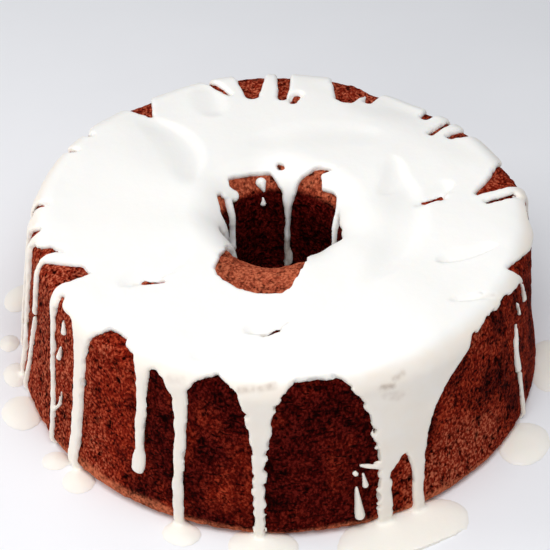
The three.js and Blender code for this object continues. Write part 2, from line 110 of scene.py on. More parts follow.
@dataclass(frozen=True)
class Noise:
    """Seeded noise in space that is the same on every run.

    Attributes:
        seed: Picks one noise out of many.
    """

    seed: int

    WAVE_GAIN = 1.5

    def _scramble(self, cell: Whole) -> Whole:
        """Mixes the three whole numbers of each cell into one.

        Args:
            cell: Three numbers for each cell.

        Returns:
            One number for each cell.
        """
        mixed = cell[..., 0] * 73856093 ^ cell[..., 1] * 19349663 ^ cell[..., 2] * 83492791
        mixed = (mixed + self.seed * 40503) & 0x7FFFFFFF
        mixed = (mixed ^ (mixed >> 13)) * 1274126177 & 0x7FFFFFFF
        return mixed ^ (mixed >> 15)

    def _draw(self, cell: Whole, count: int) -> Array:
        """Several random numbers from 0 to 1 for each cell.

        Args:
            cell: Three numbers for each cell.
            count: How many to draw.

        Returns:
            The numbers, in a last axis.
        """
        mixed = self._scramble(cell)
        draws = [(mixed * (2 * step + 1) * 69069 >> 7) & 0xFFFF for step in range(count)]
        return np.stack(draws, -1) / 0xFFFF

    def waves(self, points: Array, size: float) -> Array:
        """Smooth waves from about -1 to 1.

        Args:
            points: Places in space, in millimetres.
            size: The length of a wave, in millimetres.

        Returns:
            One height for each place.
        """
        scaled = points / size
        cell = np.floor(scaled).astype(np.int64)
        along = scaled - cell
        eased = along**3 * (along * (along * 6.0 - 15.0) + 10.0)
        total = np.zeros(points.shape[:-1])
        for corner in itertools.product((0, 1), repeat=3):
            slope = self._draw(cell + np.array(corner), 3) * 2.0 - 1.0
            weight = np.prod(np.where(corner, eased, 1.0 - eased), axis=-1)
            total += weight * np.sum(slope * (along - np.array(corner)), axis=-1)
        return total * self.WAVE_GAIN

    def layers(self, points: Array, size: float, count: int) -> Array:
        """Waves with finer and lower waves laid on them."""
        return sum(Noise(self.seed + step).waves(points, size / 2**step) / 2**step for step in range(count))

    def pits(self, points: Array, size: float, share: float) -> Array:
        """Round hollows strewn at random.

        Args:
            points: Places in space, in millimetres.
            size: The mean distance between hollows, in millimetres.
            share: How large a hollow's radius is against that distance, at most.

        Returns:
            The depth at each place, from 0 outside every hollow to 1.
        """
        scaled = points / size
        cell = np.floor(scaled).astype(np.int64)
        depth = np.zeros(points.shape[:-1])
        for corner in itertools.product((-1, 0, 1), repeat=3):
            draws = self._draw(cell + np.array(corner), 4)
            centre = cell + np.array(corner) + draws[..., :3]
            radius = share * draws[..., 3] + 1e-6
            apart = np.linalg.norm(scaled - centre, axis=-1)
            depth = np.maximum(depth, smooth(1.0 - apart / radius) * draws[..., 3])
        return depth


@dataclass(frozen=True)
class Ripple:
    """Smooth waves of one length and height.

    Attributes:
        seed: Picks one noise out of many.
        size: The length of a wave, in millimetres.
        height: How high the waves are.
    """

    seed: int
    size: float
    height: float

    def at(self, points: Array) -> Array:
        """The height of the waves at each place."""
        return self.height * Noise(self.seed).waves(points, self.size)


# --------------------------------------------------------------------------------------------------------
# The cake's shape


@dataclass(frozen=True)
class Stretch:
    """One stretch of the profile: an arc, or a straight line where its round is 0.

    Attributes:
        start: The run where it starts.
        length: How long it is.
        origin: An arc's centre, or a line's first point, as radius and height.
        round: An arc's radius.
        angle: The angle of the outward normal above the horizontal at the start, in radians.
    """

    start: float
    length: float
    origin: tuple[float, float]
    round: float
    angle: float

    def at(self, run: Array) -> tuple[Array, Array, Array, Array]:
        """The radius and height at a run, and the outward normal's two parts.

        Args:
            run: Where on the skin.

        Returns:
            The radius, the height, and the normal's part outward and up.
        """
        along = np.clip(run - self.start, 0.0, self.length)
        angle = self.angle - (along / self.round if self.round else 0.0 * along)
        across, up = np.cos(angle), np.sin(angle)
        if self.round:
            return self.origin[0] + self.round * across, self.origin[1] + self.round * up, across, up
        return self.origin[0] + along * up, self.origin[1] - along * across, across, up

    def nearest(self, radius: Array, height: Array) -> tuple[Array, Array, Array]:
        """The run of the nearest place on the stretch, how far off it is, and its signed height.

        Args:
            radius: How far from the axis the places are.
            height: How high they are.

        Returns:
            The run, the distance and the height off the stretch.
        """
        right, above = radius - self.origin[0], height - self.origin[1]
        if self.round:
            turned = (self.angle - np.arctan2(above, right) + math.pi) % (2 * math.pi) - math.pi
            along = turned * self.round
        else:
            along = right * math.sin(self.angle) - above * math.cos(self.angle)
        run = self.start + np.clip(along, 0.0, self.length)
        place = self.at(run)
        right, above = radius - place[0], height - place[1]
        return run, np.hypot(right, above), right * place[2] + above * place[3]


@dataclass(frozen=True)
class CakeShape:
    """The sponge's profile, its swells and the places on its skin.

    Attributes:
        height: How high the flat top is.
        top_radius: How far the side is from the axis where the rim starts to round.
        wall_flare: How far the side leans out towards the foot, in radians.
        rim_round: The radius of the rim's rounding.
        foot_round: The radius of the outer foot's rounding.
        hole_radius: How far the hole's wall is from the axis below the lip.
        hole_taper: How far the hole's wall leans in towards the floor, in radians.
        lip_round: The radius of the rounding round the hole.
        hole_foot_round: The radius of the rounding at the hole's foot.
        unevenness: How far the settled side swells and sinks.
        foot_calm: How long the way above the foot is over which the swells die out.
        hole_calm: How long the way above the hole's foot is over which they die out.
        swells: How often each swell comes round, where it starts, how it winds down, and its share.
        settled_line: How far the rim has sunk, by azimuth.
        settled_top: How far in from the rim the top has sunk with it.
        settled_end: Where the side is no longer sunk.
        settled_fade: How long the way is over which that ends.
        bulge_line: How far the side stands out under the rim, by azimuth.
        bulge_full: Where it stands out in full.
        bulge_end: Where it no longer does.
    """

    height: float = 82.0
    top_radius: float = 115.0
    wall_flare: float = math.radians(8.3)
    rim_round: float = 9.0
    foot_round: float = 5.0
    hole_radius: float = 27.0
    hole_taper: float = math.radians(4.0)
    lip_round: float = 17.0
    hole_foot_round: float = 3.0
    unevenness: float = 0.8
    foot_calm: float = 15.0
    hole_calm: float = 30.0
    swells: tuple[tuple[int, float, float, float], ...] = (
        (3, 0.9, 70.0, 0.62),
        (5, -1.7, -45.0, 0.44),
        (9, 2.1, 30.0, 0.38),
    )
    settled_line: tuple[tuple[float, float], ...] = (
        (-180, 0), (100, 0), (118, 1.2), (134, 1.4), (146, 3), (154, 3), (161, 0.4), (170, 0),
    )
    settled_top: float = 25.0
    settled_end: float = 65.0
    settled_fade: float = 40.0
    bulge_line: tuple[tuple[float, float], ...] = ((-180, 0), (74, 0), (85, 2.1), (97, 2.3), (112, 0))
    bulge_full: float = 10.0
    bulge_end: float = 62.0

    @cached_property
    def top_width(self) -> float:
        """How wide the flat top is, from the lip to the rim."""
        return self.top_radius - self.rim_round - self.hole_radius - self.lip_round

    @cached_property
    def lip_arc(self) -> float:
        """The length of the lip's arc."""
        return self.lip_round * (math.pi / 2 - self.hole_taper)

    @cached_property
    def rim_arc(self) -> float:
        """The length of the rim's arc."""
        return self.rim_round * (math.pi / 2 - self.wall_flare)

    @cached_property
    def stretches(self) -> tuple[Stretch, ...]:
        """The whole profile, from the hole's foot to the outer foot."""
        side, down = self.wall_flare, math.pi - self.hole_taper
        rim_foot = self.height - self.rim_round * (1 - math.sin(side))
        lip_foot = self.height - self.lip_round * (1 - math.sin(self.hole_taper))
        foot_top = self.foot_round * (1 + math.sin(side))
        hole_foot_top = self.hole_foot_round * (1 + math.sin(self.hole_taper))
        wall = (rim_foot - foot_top) / math.cos(side)
        hole = (lip_foot - hole_foot_top) / math.cos(self.hole_taper)
        hole_foot = self.hole_foot_round * (math.pi / 2 + self.hole_taper)
        inner, outer = self.hole_radius + self.lip_round, self.top_radius - self.rim_round
        lip_wall = inner - self.lip_round * math.cos(self.hole_taper)
        hole_base = lip_wall - hole * math.sin(self.hole_taper)
        rim_wall = outer + self.rim_round * math.cos(side)
        foot_wall = rim_wall + wall * math.sin(side)
        lip_start = -self.top_width - self.lip_arc
        hole_foot_centre = hole_base + self.hole_foot_round * math.cos(self.hole_taper)
        foot_centre = foot_wall - self.foot_round * math.cos(side)
        return (
            Stretch(lip_start - hole - hole_foot, hole_foot, (hole_foot_centre, self.hole_foot_round),
                    self.hole_foot_round, 1.5 * math.pi),
            Stretch(lip_start - hole, hole, (hole_base, hole_foot_top), 0.0, down),
            Stretch(lip_start, self.lip_arc, (inner, self.height - self.lip_round), self.lip_round, down),
            Stretch(-self.top_width, self.top_width, (inner, self.height), 0.0, math.pi / 2),
            Stretch(0.0, self.rim_arc, (outer, self.height - self.rim_round), self.rim_round, math.pi / 2),
            Stretch(self.rim_arc, wall, (rim_wall, rim_foot), 0.0, side),
            Stretch(self.rim_arc + wall, self.foot_round * (math.pi / 2 + side),
                    (foot_centre, self.foot_round), self.foot_round, side),
        )

    @cached_property
    def first_run(self) -> float:
        """The run at the bottom of the hole."""
        return self.stretches[0].start

    @cached_property
    def last_run(self) -> float:
        """The run at the outer foot, where the cake meets the floor."""
        return self.stretches[-1].start + self.stretches[-1].length

    @cached_property
    def wall_end(self) -> float:
        """The run where the side ends and the foot's arc starts."""
        return self.stretches[-1].start

    @cached_property
    def hole_end(self) -> float:
        """The run where the hole's wall ends and its foot starts."""
        return self.stretches[1].start

    def profile(self, run: Array) -> tuple[Array, Array, Array, Array]:
        """The radius, height and outward normal at each run.

        Args:
            run: Where on the skin.

        Returns:
            The same four values as a stretch gives.
        """
        starts = np.array([stretch.start for stretch in self.stretches[1:]])
        number = np.searchsorted(starts, run, side="right")
        places = [stretch.at(run) for stretch in self.stretches]
        return tuple(np.choose(number, [place[part] for place in places]) for part in range(4))

    def swell(self, azimuth: Array, run: Array) -> Array:
        """How far the settled sponge stands out of its even profile.

        Args:
            azimuth: Where on the skin.
            run: Where on the skin.

        Returns:
            The distance, along the normal.
        """
        around = np.radians(azimuth)
        total = sum(share * np.sin(count * around + start + run / pitch)
                    for count, start, pitch, share in self.swells)
        calm = smooth((self.wall_end - run) / self.foot_calm) * smooth((run - self.hole_end) / self.hole_calm)
        return self.unevenness * total * calm + self.bulge(azimuth, run) - self.settled(azimuth, run)

    def settled(self, azimuth: Array, run: Array) -> Array:
        """How far the rim has sunk, fading out across the top and down the side.

        Args:
            azimuth: Where on the skin.
            run: Where on the skin.

        Returns:
            The depth.
        """
        above = smooth((run + self.settled_top) / self.settled_top)
        below = smooth((self.settled_end - run) / self.settled_fade)
        return line_value(self.settled_line, azimuth) * above * below

    def bulge(self, azimuth: Array, run: Array) -> Array:
        """How far the side stands out under the rim."""
        below = smooth((self.bulge_end - run) / (self.bulge_end - self.bulge_full))
        return line_value(self.bulge_line, azimuth) * smooth(run / self.bulge_full) * below

    def skin(self, azimuth: Array, run: Array, lift: Array | float = 0.0) -> Array:
        """Places on the cake's skin, or lifted off it along its normal.

        Args:
            azimuth: Where on the skin.
            run: Where on the skin.
            lift: How far off the skin the places are.

        Returns:
            The places in space.
        """
        radius, height, across, up = self.profile(run)
        out = self.swell(azimuth, run) + lift
        around = np.radians(azimuth)
        reach = radius + out * across
        return np.stack([reach * np.sin(around), -reach * np.cos(around), height + out * up], -1)

    def address(self, points: Array) -> tuple[Array, Array, Array]:
        """The azimuth, run and height off the skin of places in space.

        Args:
            points: The places.

        Returns:
            Those three values for each place.
        """
        radius = np.hypot(points[..., 0], points[..., 1])
        azimuth = np.degrees(np.arctan2(points[..., 0], -points[..., 1]))
        best = np.full(radius.shape, np.inf)
        run, off = np.zeros(radius.shape), np.zeros(radius.shape)
        for stretch in self.stretches:
            place, apart, height = stretch.nearest(radius, points[..., 2])
            closer = apart < best
            best = np.where(closer, apart, best)
            run = np.where(closer, place, run)
            off = np.where(closer, np.sign(height) * apart, off)
        return azimuth, run, off - self.swell(azimuth, run)


@dataclass(frozen=True)
class Crumb:
    """The relief of the sponge's open crumb: raised grains, and pores between them.

    Attributes:
        shape: The cake's shape.
        stretch: How much longer than wide the crumb is on the side, where it rose.
        pore_size: The mean distance between pores.
        pore_share: How large a pore's radius is against that distance, at most.
        pore_depth: How deep the deepest pores are.
        grain_size: How wide a grain is.
        grain_height: How far the grains stand out.
        grain_seed: Picks the grains' noise.
        pore_seed: Picks the pores' noise.
        slump: The slow unevenness under the crumb.
        stretch_fade: How long the way under the rim is over which the crumb starts to be drawn out.
    """

    shape: CakeShape
    stretch: float = 1.6
    pore_size: float = 2.9
    pore_share: float = 0.85
    pore_depth: float = 0.95
    grain_size: float = 3.2
    grain_height: float = 0.4
    grain_seed: int = 31
    pore_seed: int = 34
    slump: Ripple = Ripple(33, 19.0, 0.25)
    stretch_fade: float = 6.0

    def _risen(self, points: Array, run: Array) -> Array:
        """The points squeezed in height on the side, where the grains are drawn out as they rose.

        Args:
            points: Places in space.
            run: Their runs.

        Returns:
            The squeezed places.
        """
        on_side = smooth((run - self.shape.rim_arc) / self.stretch_fade) * np.ones(points.shape[:-1])
        squeeze = 1.0 - (1.0 - 1.0 / self.stretch) * on_side
        return points * np.stack([np.ones_like(squeeze), np.ones_like(squeeze), squeeze], -1)

    def pores(self, points: Array, run: Array) -> Array:
        """How deep in a pore each place is, from 0 to 1."""
        return Noise(self.pore_seed).pits(self._risen(points, run), self.pore_size, self.pore_share)

    def relief(self, points: Array, run: Array) -> Array:
        """How far the crumb stands out of the skin, or lies below it, at each place."""
        grain = Noise(self.grain_seed).layers(self._risen(points, run), self.grain_size, 2)
        return self.grain_height * grain - self.pore_depth * self.pores(points, run)


SHAPE = CakeShape()
CRUMB = Crumb(SHAPE)


# --------------------------------------------------------------------------------------------------------
# Where the glaze lies


@dataclass(frozen=True)
class Places:
    """Places on the skin, and how far each is from the axis."""

    azimuth: Array
    run: Array
    radius: Array

    def across(self, azimuth: Array | float) -> Array:
        """The distance round the axis from an azimuth to each place."""
        return np.radians(turn_between(self.azimuth, azimuth)) * self.radius


class Spot(NamedTuple):
    """One end of a slot on the skin."""

    azimuth: float
    run: float
    width: float


@dataclass(frozen=True)
class Slot:
    """A stretched patch of skin with round ends, from one spot to another."""

    start: Spot
    end: Spot

    def depth(self, places: Places) -> Array:
        """How deep inside the slot each place is.

        Args:
            places: Places on the skin.

        Returns:
            The depth in millimetres, negative outside.
        """
        right = places.across(self.start.azimuth)
        down = places.run - self.start.run
        span_right = np.radians(turn_between(self.end.azimuth, self.start.azimuth)) * places.radius
        span_down = self.end.run - self.start.run
        length = span_right * span_right + span_down * span_down + 1e-9
        share = np.clip((right * span_right + down * span_down) / length, 0.0, 1.0)
        half = (self.start.width + (self.end.width - self.start.width) * share) / 2
        return half - np.hypot(right - share * span_right, down - share * span_down)


@dataclass(frozen=True)
class Drip:
    """A run of glaze that leaves the sheet and follows the side or the hole down.

    Attributes:
        azimuth: Where it leaves the sheet.
        width: How wide its thread is.
        reach: Where it ends, as a distance down from the edge of the flat top.
        bulb: The width of its swollen end, where it has one.
        left: How much wider it starts on its left.
        right: How much wider it starts on its right.
        fall: How fast that extra width narrows.
        lean: How far round it drifts on its way.
        start: Where its thread starts, where that is above the edge of the flat top.
        way: Where it runs to.
        FLARE_TOP: How far down the extra width is as wide as it gets.
        FLARE_MIDDLE: How far down it is as wide as left and right say.
        BULB_LENGTH: How far above its end a drip starts to swell.
        BULB_BLEND: How long the way is over which it does.
    """

    azimuth: float
    width: float
    reach: float
    bulb: float = 0.0
    left: float = 0.0
    right: float = 0.0
    fall: float = 9.0
    lean: float = 0.0
    start: float = 0.0
    way: Way = Way.OUTER_SIDE

    FLARE_TOP = 4.0
    FLARE_MIDDLE = 10.0
    BULB_LENGTH = 14.0
    BULB_BLEND = 8.0

    def depth(self, places: Places, down: Array, drift: float, limit: float) -> Array:
        """How deep inside the drip each place is.

        Args:
            places: Places on the skin.
            down: How far down the drip's way each place is.
            drift: How long the way is over which a drip to the foot leans.
            limit: Where a drip to the foot ends.

        Returns:
            The depth in millimetres, negative outside.
        """
        end = min(self.reach, limit)
        bulb = max(self.bulb - self.width, 0.0)
        half = (self.width + bulb * smooth((down - end + self.BULB_LENGTH) / self.BULB_BLEND)) / 2
        middle = self.azimuth + self.lean * smooth(down / min(self.reach, drift))
        offset = places.across(middle)
        flare = np.where(offset < 0, self.left, self.right)
        narrowed = (np.maximum(down, self.FLARE_TOP) - self.FLARE_MIDDLE) / self.fall
        wide = half + flare * np.exp(-narrowed)
        past = np.maximum(0.0, down - (end - half))
        before = np.maximum(0.0, self.start - down)
        return wide - np.sqrt(offset * offset + past * past + before * before)


@dataclass(frozen=True)
class Chart:
    """A grid of places on the skin, with a value at each.

    Attributes:
        shape: The cake's shape.
        columns: How many places there are round the cake.
        step: The distance from one row to the next.
        wavers: How what runs down the cake wavers to and fro.
    """

    shape: CakeShape
    columns: int = 1800
    step: float = 0.45
    wavers: tuple[Ripple, ...] = (Ripple(13, 15.0, 0.55), Ripple(14, 6.5, 0.42))

    @cached_property
    def rows(self) -> int:
        """How many rows cover the whole profile."""
        return int((self.shape.last_run - self.shape.first_run) / self.step) + 2

    @cached_property
    def azimuth(self) -> Array:
        """The azimuth of each place, as one row."""
        return (np.arange(self.columns) * 360.0 / self.columns - 180.0)[None, :]

    @cached_property
    def run(self) -> Array:
        """The run of each place, as one column."""
        return (self.shape.first_run + np.arange(self.rows) * self.step)[:, None]

    @cached_property
    def past(self) -> Array:
        """How far each place is past the flat top's inner edge, towards the hole."""
        return -self.shape.top_width - self.run

    @cached_property
    def places(self) -> Places:
        """All the places of the chart, shifted a little to and fro so that what runs down them wavers."""
        radius = self.shape.profile(self.run)[0]
        waver = sum(ripple.at(self.points) for ripple in self.wavers)
        return Places(self.azimuth + np.degrees(waver / radius), self.run, radius)

    @cached_property
    def points(self) -> Array:
        """Each place in space."""
        azimuth, run = np.broadcast_arrays(self.azimuth, self.run)
        return self.shape.skin(azimuth, run)

    def sample(self, values: Array, azimuth: Array, run: Array) -> Array:
        """The value between the places of the chart.

        Args:
            values: One value for each place of the chart.
            azimuth: Where the value is wanted.
            run: Where the value is wanted.

        Returns:
            The value at each wanted place.
        """
        column = (azimuth + 180.0) / 360.0 * self.columns
        row = np.clip((run - self.shape.first_run) / self.step, 0.0, self.rows - 1.001)
        left, top = np.floor(column).astype(np.int64), np.floor(row).astype(np.int64)
        right_share, low_share = column - left, row - top
        left, right = left % self.columns, (left + 1) % self.columns
        upper = values[top, left] * (1 - right_share) + values[top, right] * right_share
        lower = values[top + 1, left] * (1 - right_share) + values[top + 1, right] * right_share
        return upper * (1 - low_share) + lower * low_share


@dataclass(frozen=True)
class Dent:
    """A valley in the top of the glaze: it falls gently on one side and rises steeply on the other.

    Attributes:
        start: One end of its bottom, as seen from above.
        end: The other end. The steep side is on the right of the way there.
        bow: How far its middle lies to the right of the straight way.
        gentle: How wide the gentle side is.
        steep: How wide the steep side is.
        depth: How much of the glaze's thickness it takes away.
        END_BLEND: How fast it deepens from its ends.
    """

    start: tuple[float, float]
    end: tuple[float, float]
    bow: float
    gentle: float
    steep: float
    depth: float

    END_BLEND = 1.4

    def share(self, points: Array) -> Array:
        """How much of the thickness is gone at each place, from 0 to 1.

        Args:
            points: Places in space.

        Returns:
            The share for each place.
        """
        way = np.array(self.end) - np.array(self.start)
        length = float(np.linalg.norm(way))
        way = way / length
        right, ahead = points[..., 0] - self.start[0], points[..., 1] - self.start[1]
        along = (right * way[0] + ahead * way[1]) / length
        middle = np.clip(4.0 * along * (1.0 - along), 0.0, 1.0)
        beside = right * way[1] - ahead * way[0] - self.bow * middle
        wide = np.sqrt(middle) + 1e-3
        side = np.where(beside < 0, 1.0 + beside / (self.gentle * wide), 1.0 - beside / (self.steep * wide))
        return self.depth * smooth(self.END_BLEND * middle) * smooth(side)


@dataclass(frozen=True)
class GlazePlan:
    """Where the glaze lies on the skin: a sheet, its drips and drops, and the gaps in it.

    Attributes:
        shape: The cake's shape.
        sheet_round: How softly the drips leave the sheet.
        gap_round: How softly the gaps open in it.
        hole_end: How far above the floor the glaze ends in the hole.
        floor_overlap: How far past the foot the longest drips run, so that they meet their pools.
        bends: The slow bends of the glaze's edge.
        nick_seed, nick_size, nick_width: The small bends on them.
        thread_bend: How much of the bends the thin strands have.
        bite_start, bite_fade: Where pores start to bite in full, and how long the way to there is.
        top_bite: The share that they bite on the top.
        pore_gain: How sharply a pore's edge cuts the glaze.
        bite_reach: How far in from its edge the glaze is bitten.
        bite_share: How much farther in large bites reach.
        teeth: The larger notches.
        tooth_squeeze: How the notches are drawn out.
        tooth_floor: How high their waves stand before they cut.
        mottle: The unevenness of what shows through the glaze.
        mottle_middle: The middle of that.
        sheer_reach, sheer_fade: How far round a thin spot the crumb still shows, and how softly.
        poured, poured_waves: How thick the glaze is on the top, and the waves in it.
        run_down, run_down_waves: How thick it is on the side, and the waves in it.
        lobes, lobe_start, lobe_fade: The thicker lobes near the rim, and where they start.
        top_end, top_fade: Where the top's thickness ends, and over how long a way.
        nibble_line: How far pores bite into the edge, by azimuth.
        tooth_line: How far the larger notches do.
        rim_line: Where the sheet ends below the rim, as a run, by azimuth.
        lip_line: How far down the hole the sheet ends, by azimuth. It is negative where the lip is bare.
        drips: What runs down the side and the hole.
        gaps: Where the sheet has run apart and the crumb is bare.
        threads: Thin strands that are laid on last.
        dents: The valleys in the top.
        thin_and_shaded_spots: Where the crumb shows through the glaze and where the creases are painted with
            shade, and how far.
        drops: Small drops that cling to the crumb by themselves.
    """

    shape: CakeShape
    sheet_round: float = 4.5
    gap_round: float = 2.0
    hole_end: float = 8.0
    floor_overlap: float = 12.0
    bends: Ripple = Ripple(11, 9.0, 0.3)
    nick_seed: int = 12
    nick_size: float = 3.4
    nick_width: float = 0.38
    thread_bend: float = 0.5
    bite_start: float = -4.0
    bite_fade: float = 10.0
    top_bite: float = 0.35
    pore_gain: float = 2.3
    bite_reach: float = 0.9
    bite_share: float = 0.5
    teeth: Ripple = Ripple(15, 4.2, 4.0)
    tooth_squeeze: tuple[float, float, float] = (0.7, 0.7, 1.0)
    tooth_floor: float = 0.4
    mottle: Ripple = Ripple(24, 2.2, 0.7)
    mottle_middle: float = 0.75
    sheer_reach: float = 1.1
    sheer_fade: float = 2.0
    poured: float = 2.7
    poured_waves: Ripple = Ripple(21, 42.0, 0.4)
    run_down: float = 2.0
    run_down_waves: Ripple = Ripple(22, 13.0, 0.3)
    lobes: Ripple = Ripple(23, 15.0, 0.5)
    lobe_start: float = -20.0
    lobe_fade: float = 16.0
    top_end: float = 10.0
    top_fade: float = 12.0
    nibble_line: tuple[tuple[float, float], ...] = (
        (-180, 0.9), (-60, 0.7), (-44, 0.6), (-20, 0.7), (-9, 1.1), (-4, 1.3), (4, 1.3), (12, 1.5),
        (22, 1.5), (27, 0.8), (44, 0.9), (49, 1.3), (63, 1.3), (70, 0.9), (120, 0.9),
    )
    tooth_line: tuple[tuple[float, float], ...] = (
        (-180, 0), (-9, 0), (-6, 1.0), (3, 1.0), (8, 0.3), (13, 1.3), (21, 1.3), (24, 0.2), (42, 0.2),
        (47, 1.2), (61, 1.2), (66, 0),
    )
    rim_line: tuple[tuple[float, float], ...] = (
        (-180, 7), (-150, 9), (-128, 9), (-100, 10), (-80, 7), (-68, 2), (-60, 8), (-50, 9), (-43.8, 5.4),
        (-42.2, 1.4), (-39.4, 1.0), (-37.4, 1.3), (-36.2, 4.4), (-34, 5.6), (-32, 8), (-29.3, 8.2),
        (-27.6, 8.2), (-25.6, 10.4), (-23.4, 15), (-21, 13), (-17, 6.6),
        (-13.5, 4), (-10, 7), (-4, 8), (5, 4.5), (12, 4.5), (26, 12), (48, 8),
        (60, 8.5), (68, 11), (84, 11), (90, 8.4), (95, 8), (99, 9.5), (118, 8), (148, 7),
    )
    lip_line: tuple[tuple[float, float], ...] = (
        (-180, 16), (-170, 11), (-151, 10), (-138, 8), (-131, 12), (-126, 17), (-118, 11.5), (-105, 15),
        (-90, 17), (-70, 16), (-55, 14), (-45, 9), (-40.5, 2.5), (-35, -6), (-31, -8.5), (-26.5, -10),
        (-18, -12), (-9, -13), (0.5, -13), (4, -10.5), (9, -3.5), (13, 1.5), (18, 6), (22.5, 11),
        (27, 13), (45, 14), (57, 11), (75, 15.5), (90, 17.5), (103, 17), (122, 12.5), (138, 14), (145, 10),
        (148.5, 4.5), (157, 8), (164, 10), (172, 17),
    )
    drips: tuple[Drip, ...] = (
        # down the back and the left side
        Drip(-155, 6, 58, bulb=7.4, left=6, right=5),
        Drip(-146, 5, 42, bulb=6.5, left=3, right=3),
        Drip(-130, 6, TO_FOOT, left=5, right=5),
        Drip(-120, 4.5, 33, bulb=6, left=3, right=2),
        Drip(-106, 6, TO_FOOT, left=7, right=4),
        Drip(-96, 4, 52, bulb=5.5, left=3, right=2),
        Drip(-88, 3.6, TO_FOOT, left=4, right=3),
        Drip(-81.8, 3.7, TO_FOOT, left=2, right=1, lean=2.6),
        Drip(-72.9, 3.3, 35.5, lean=0.8, start=-9),
        Drip(-61.2, 2.9, TO_FOOT, left=1.4, right=3, fall=6, lean=4.2),
        # down the front, from left to right
        Drip(-48.4, 6.8, TO_FOOT, left=3, right=2.5),
        Drip(-30.3, 4.6, 66.5, bulb=6.8, left=1.7, right=0.9, fall=13),
        Drip(-20.9, 5.2, TO_FOOT, left=4, right=0.6, fall=11),
        Drip(-3.9, 6.4, TO_FOOT, left=7.5, right=6.5, fall=14),
        Drip(25.6, 23.2, TO_FOOT, left=8.5, right=31.5, fall=14.5),
        Drip(70.2, 2.1, 27.5, left=1.4, right=0.6, fall=6, lean=2.3),
        # down the right side and the back
        Drip(99.8, 5, 56, bulb=6.6, left=1.5, right=1.5),
        Drip(117, 5.2, 60, bulb=7, left=6, right=5),
        Drip(134, 5.6, TO_FOOT, left=3, right=4),
        Drip(147, 5.6, 34, bulb=7, left=5, right=4),
        Drip(171, 5.4, TO_FOOT, left=3, right=2),
        Drip(-176.8, 5.4, 48, bulb=6.6, left=1, right=1),
        Drip(-166.5, 4, 25, bulb=5.2),
        # down the hole
        Drip(171.6, 2.5, 74, left=7.5, right=5.5, way=Way.HOLE),
        Drip(-128, 2.9, 42, left=2, right=3, lean=11, way=Way.HOLE),
        Drip(-95, 5, 33, left=4, right=4, way=Way.HOLE),
        Drip(-58, 4.6, 32, left=4, right=3, way=Way.HOLE),
        Drip(126, 2.6, 38, left=1.5, right=1.5, lean=-36, way=Way.HOLE),
    )
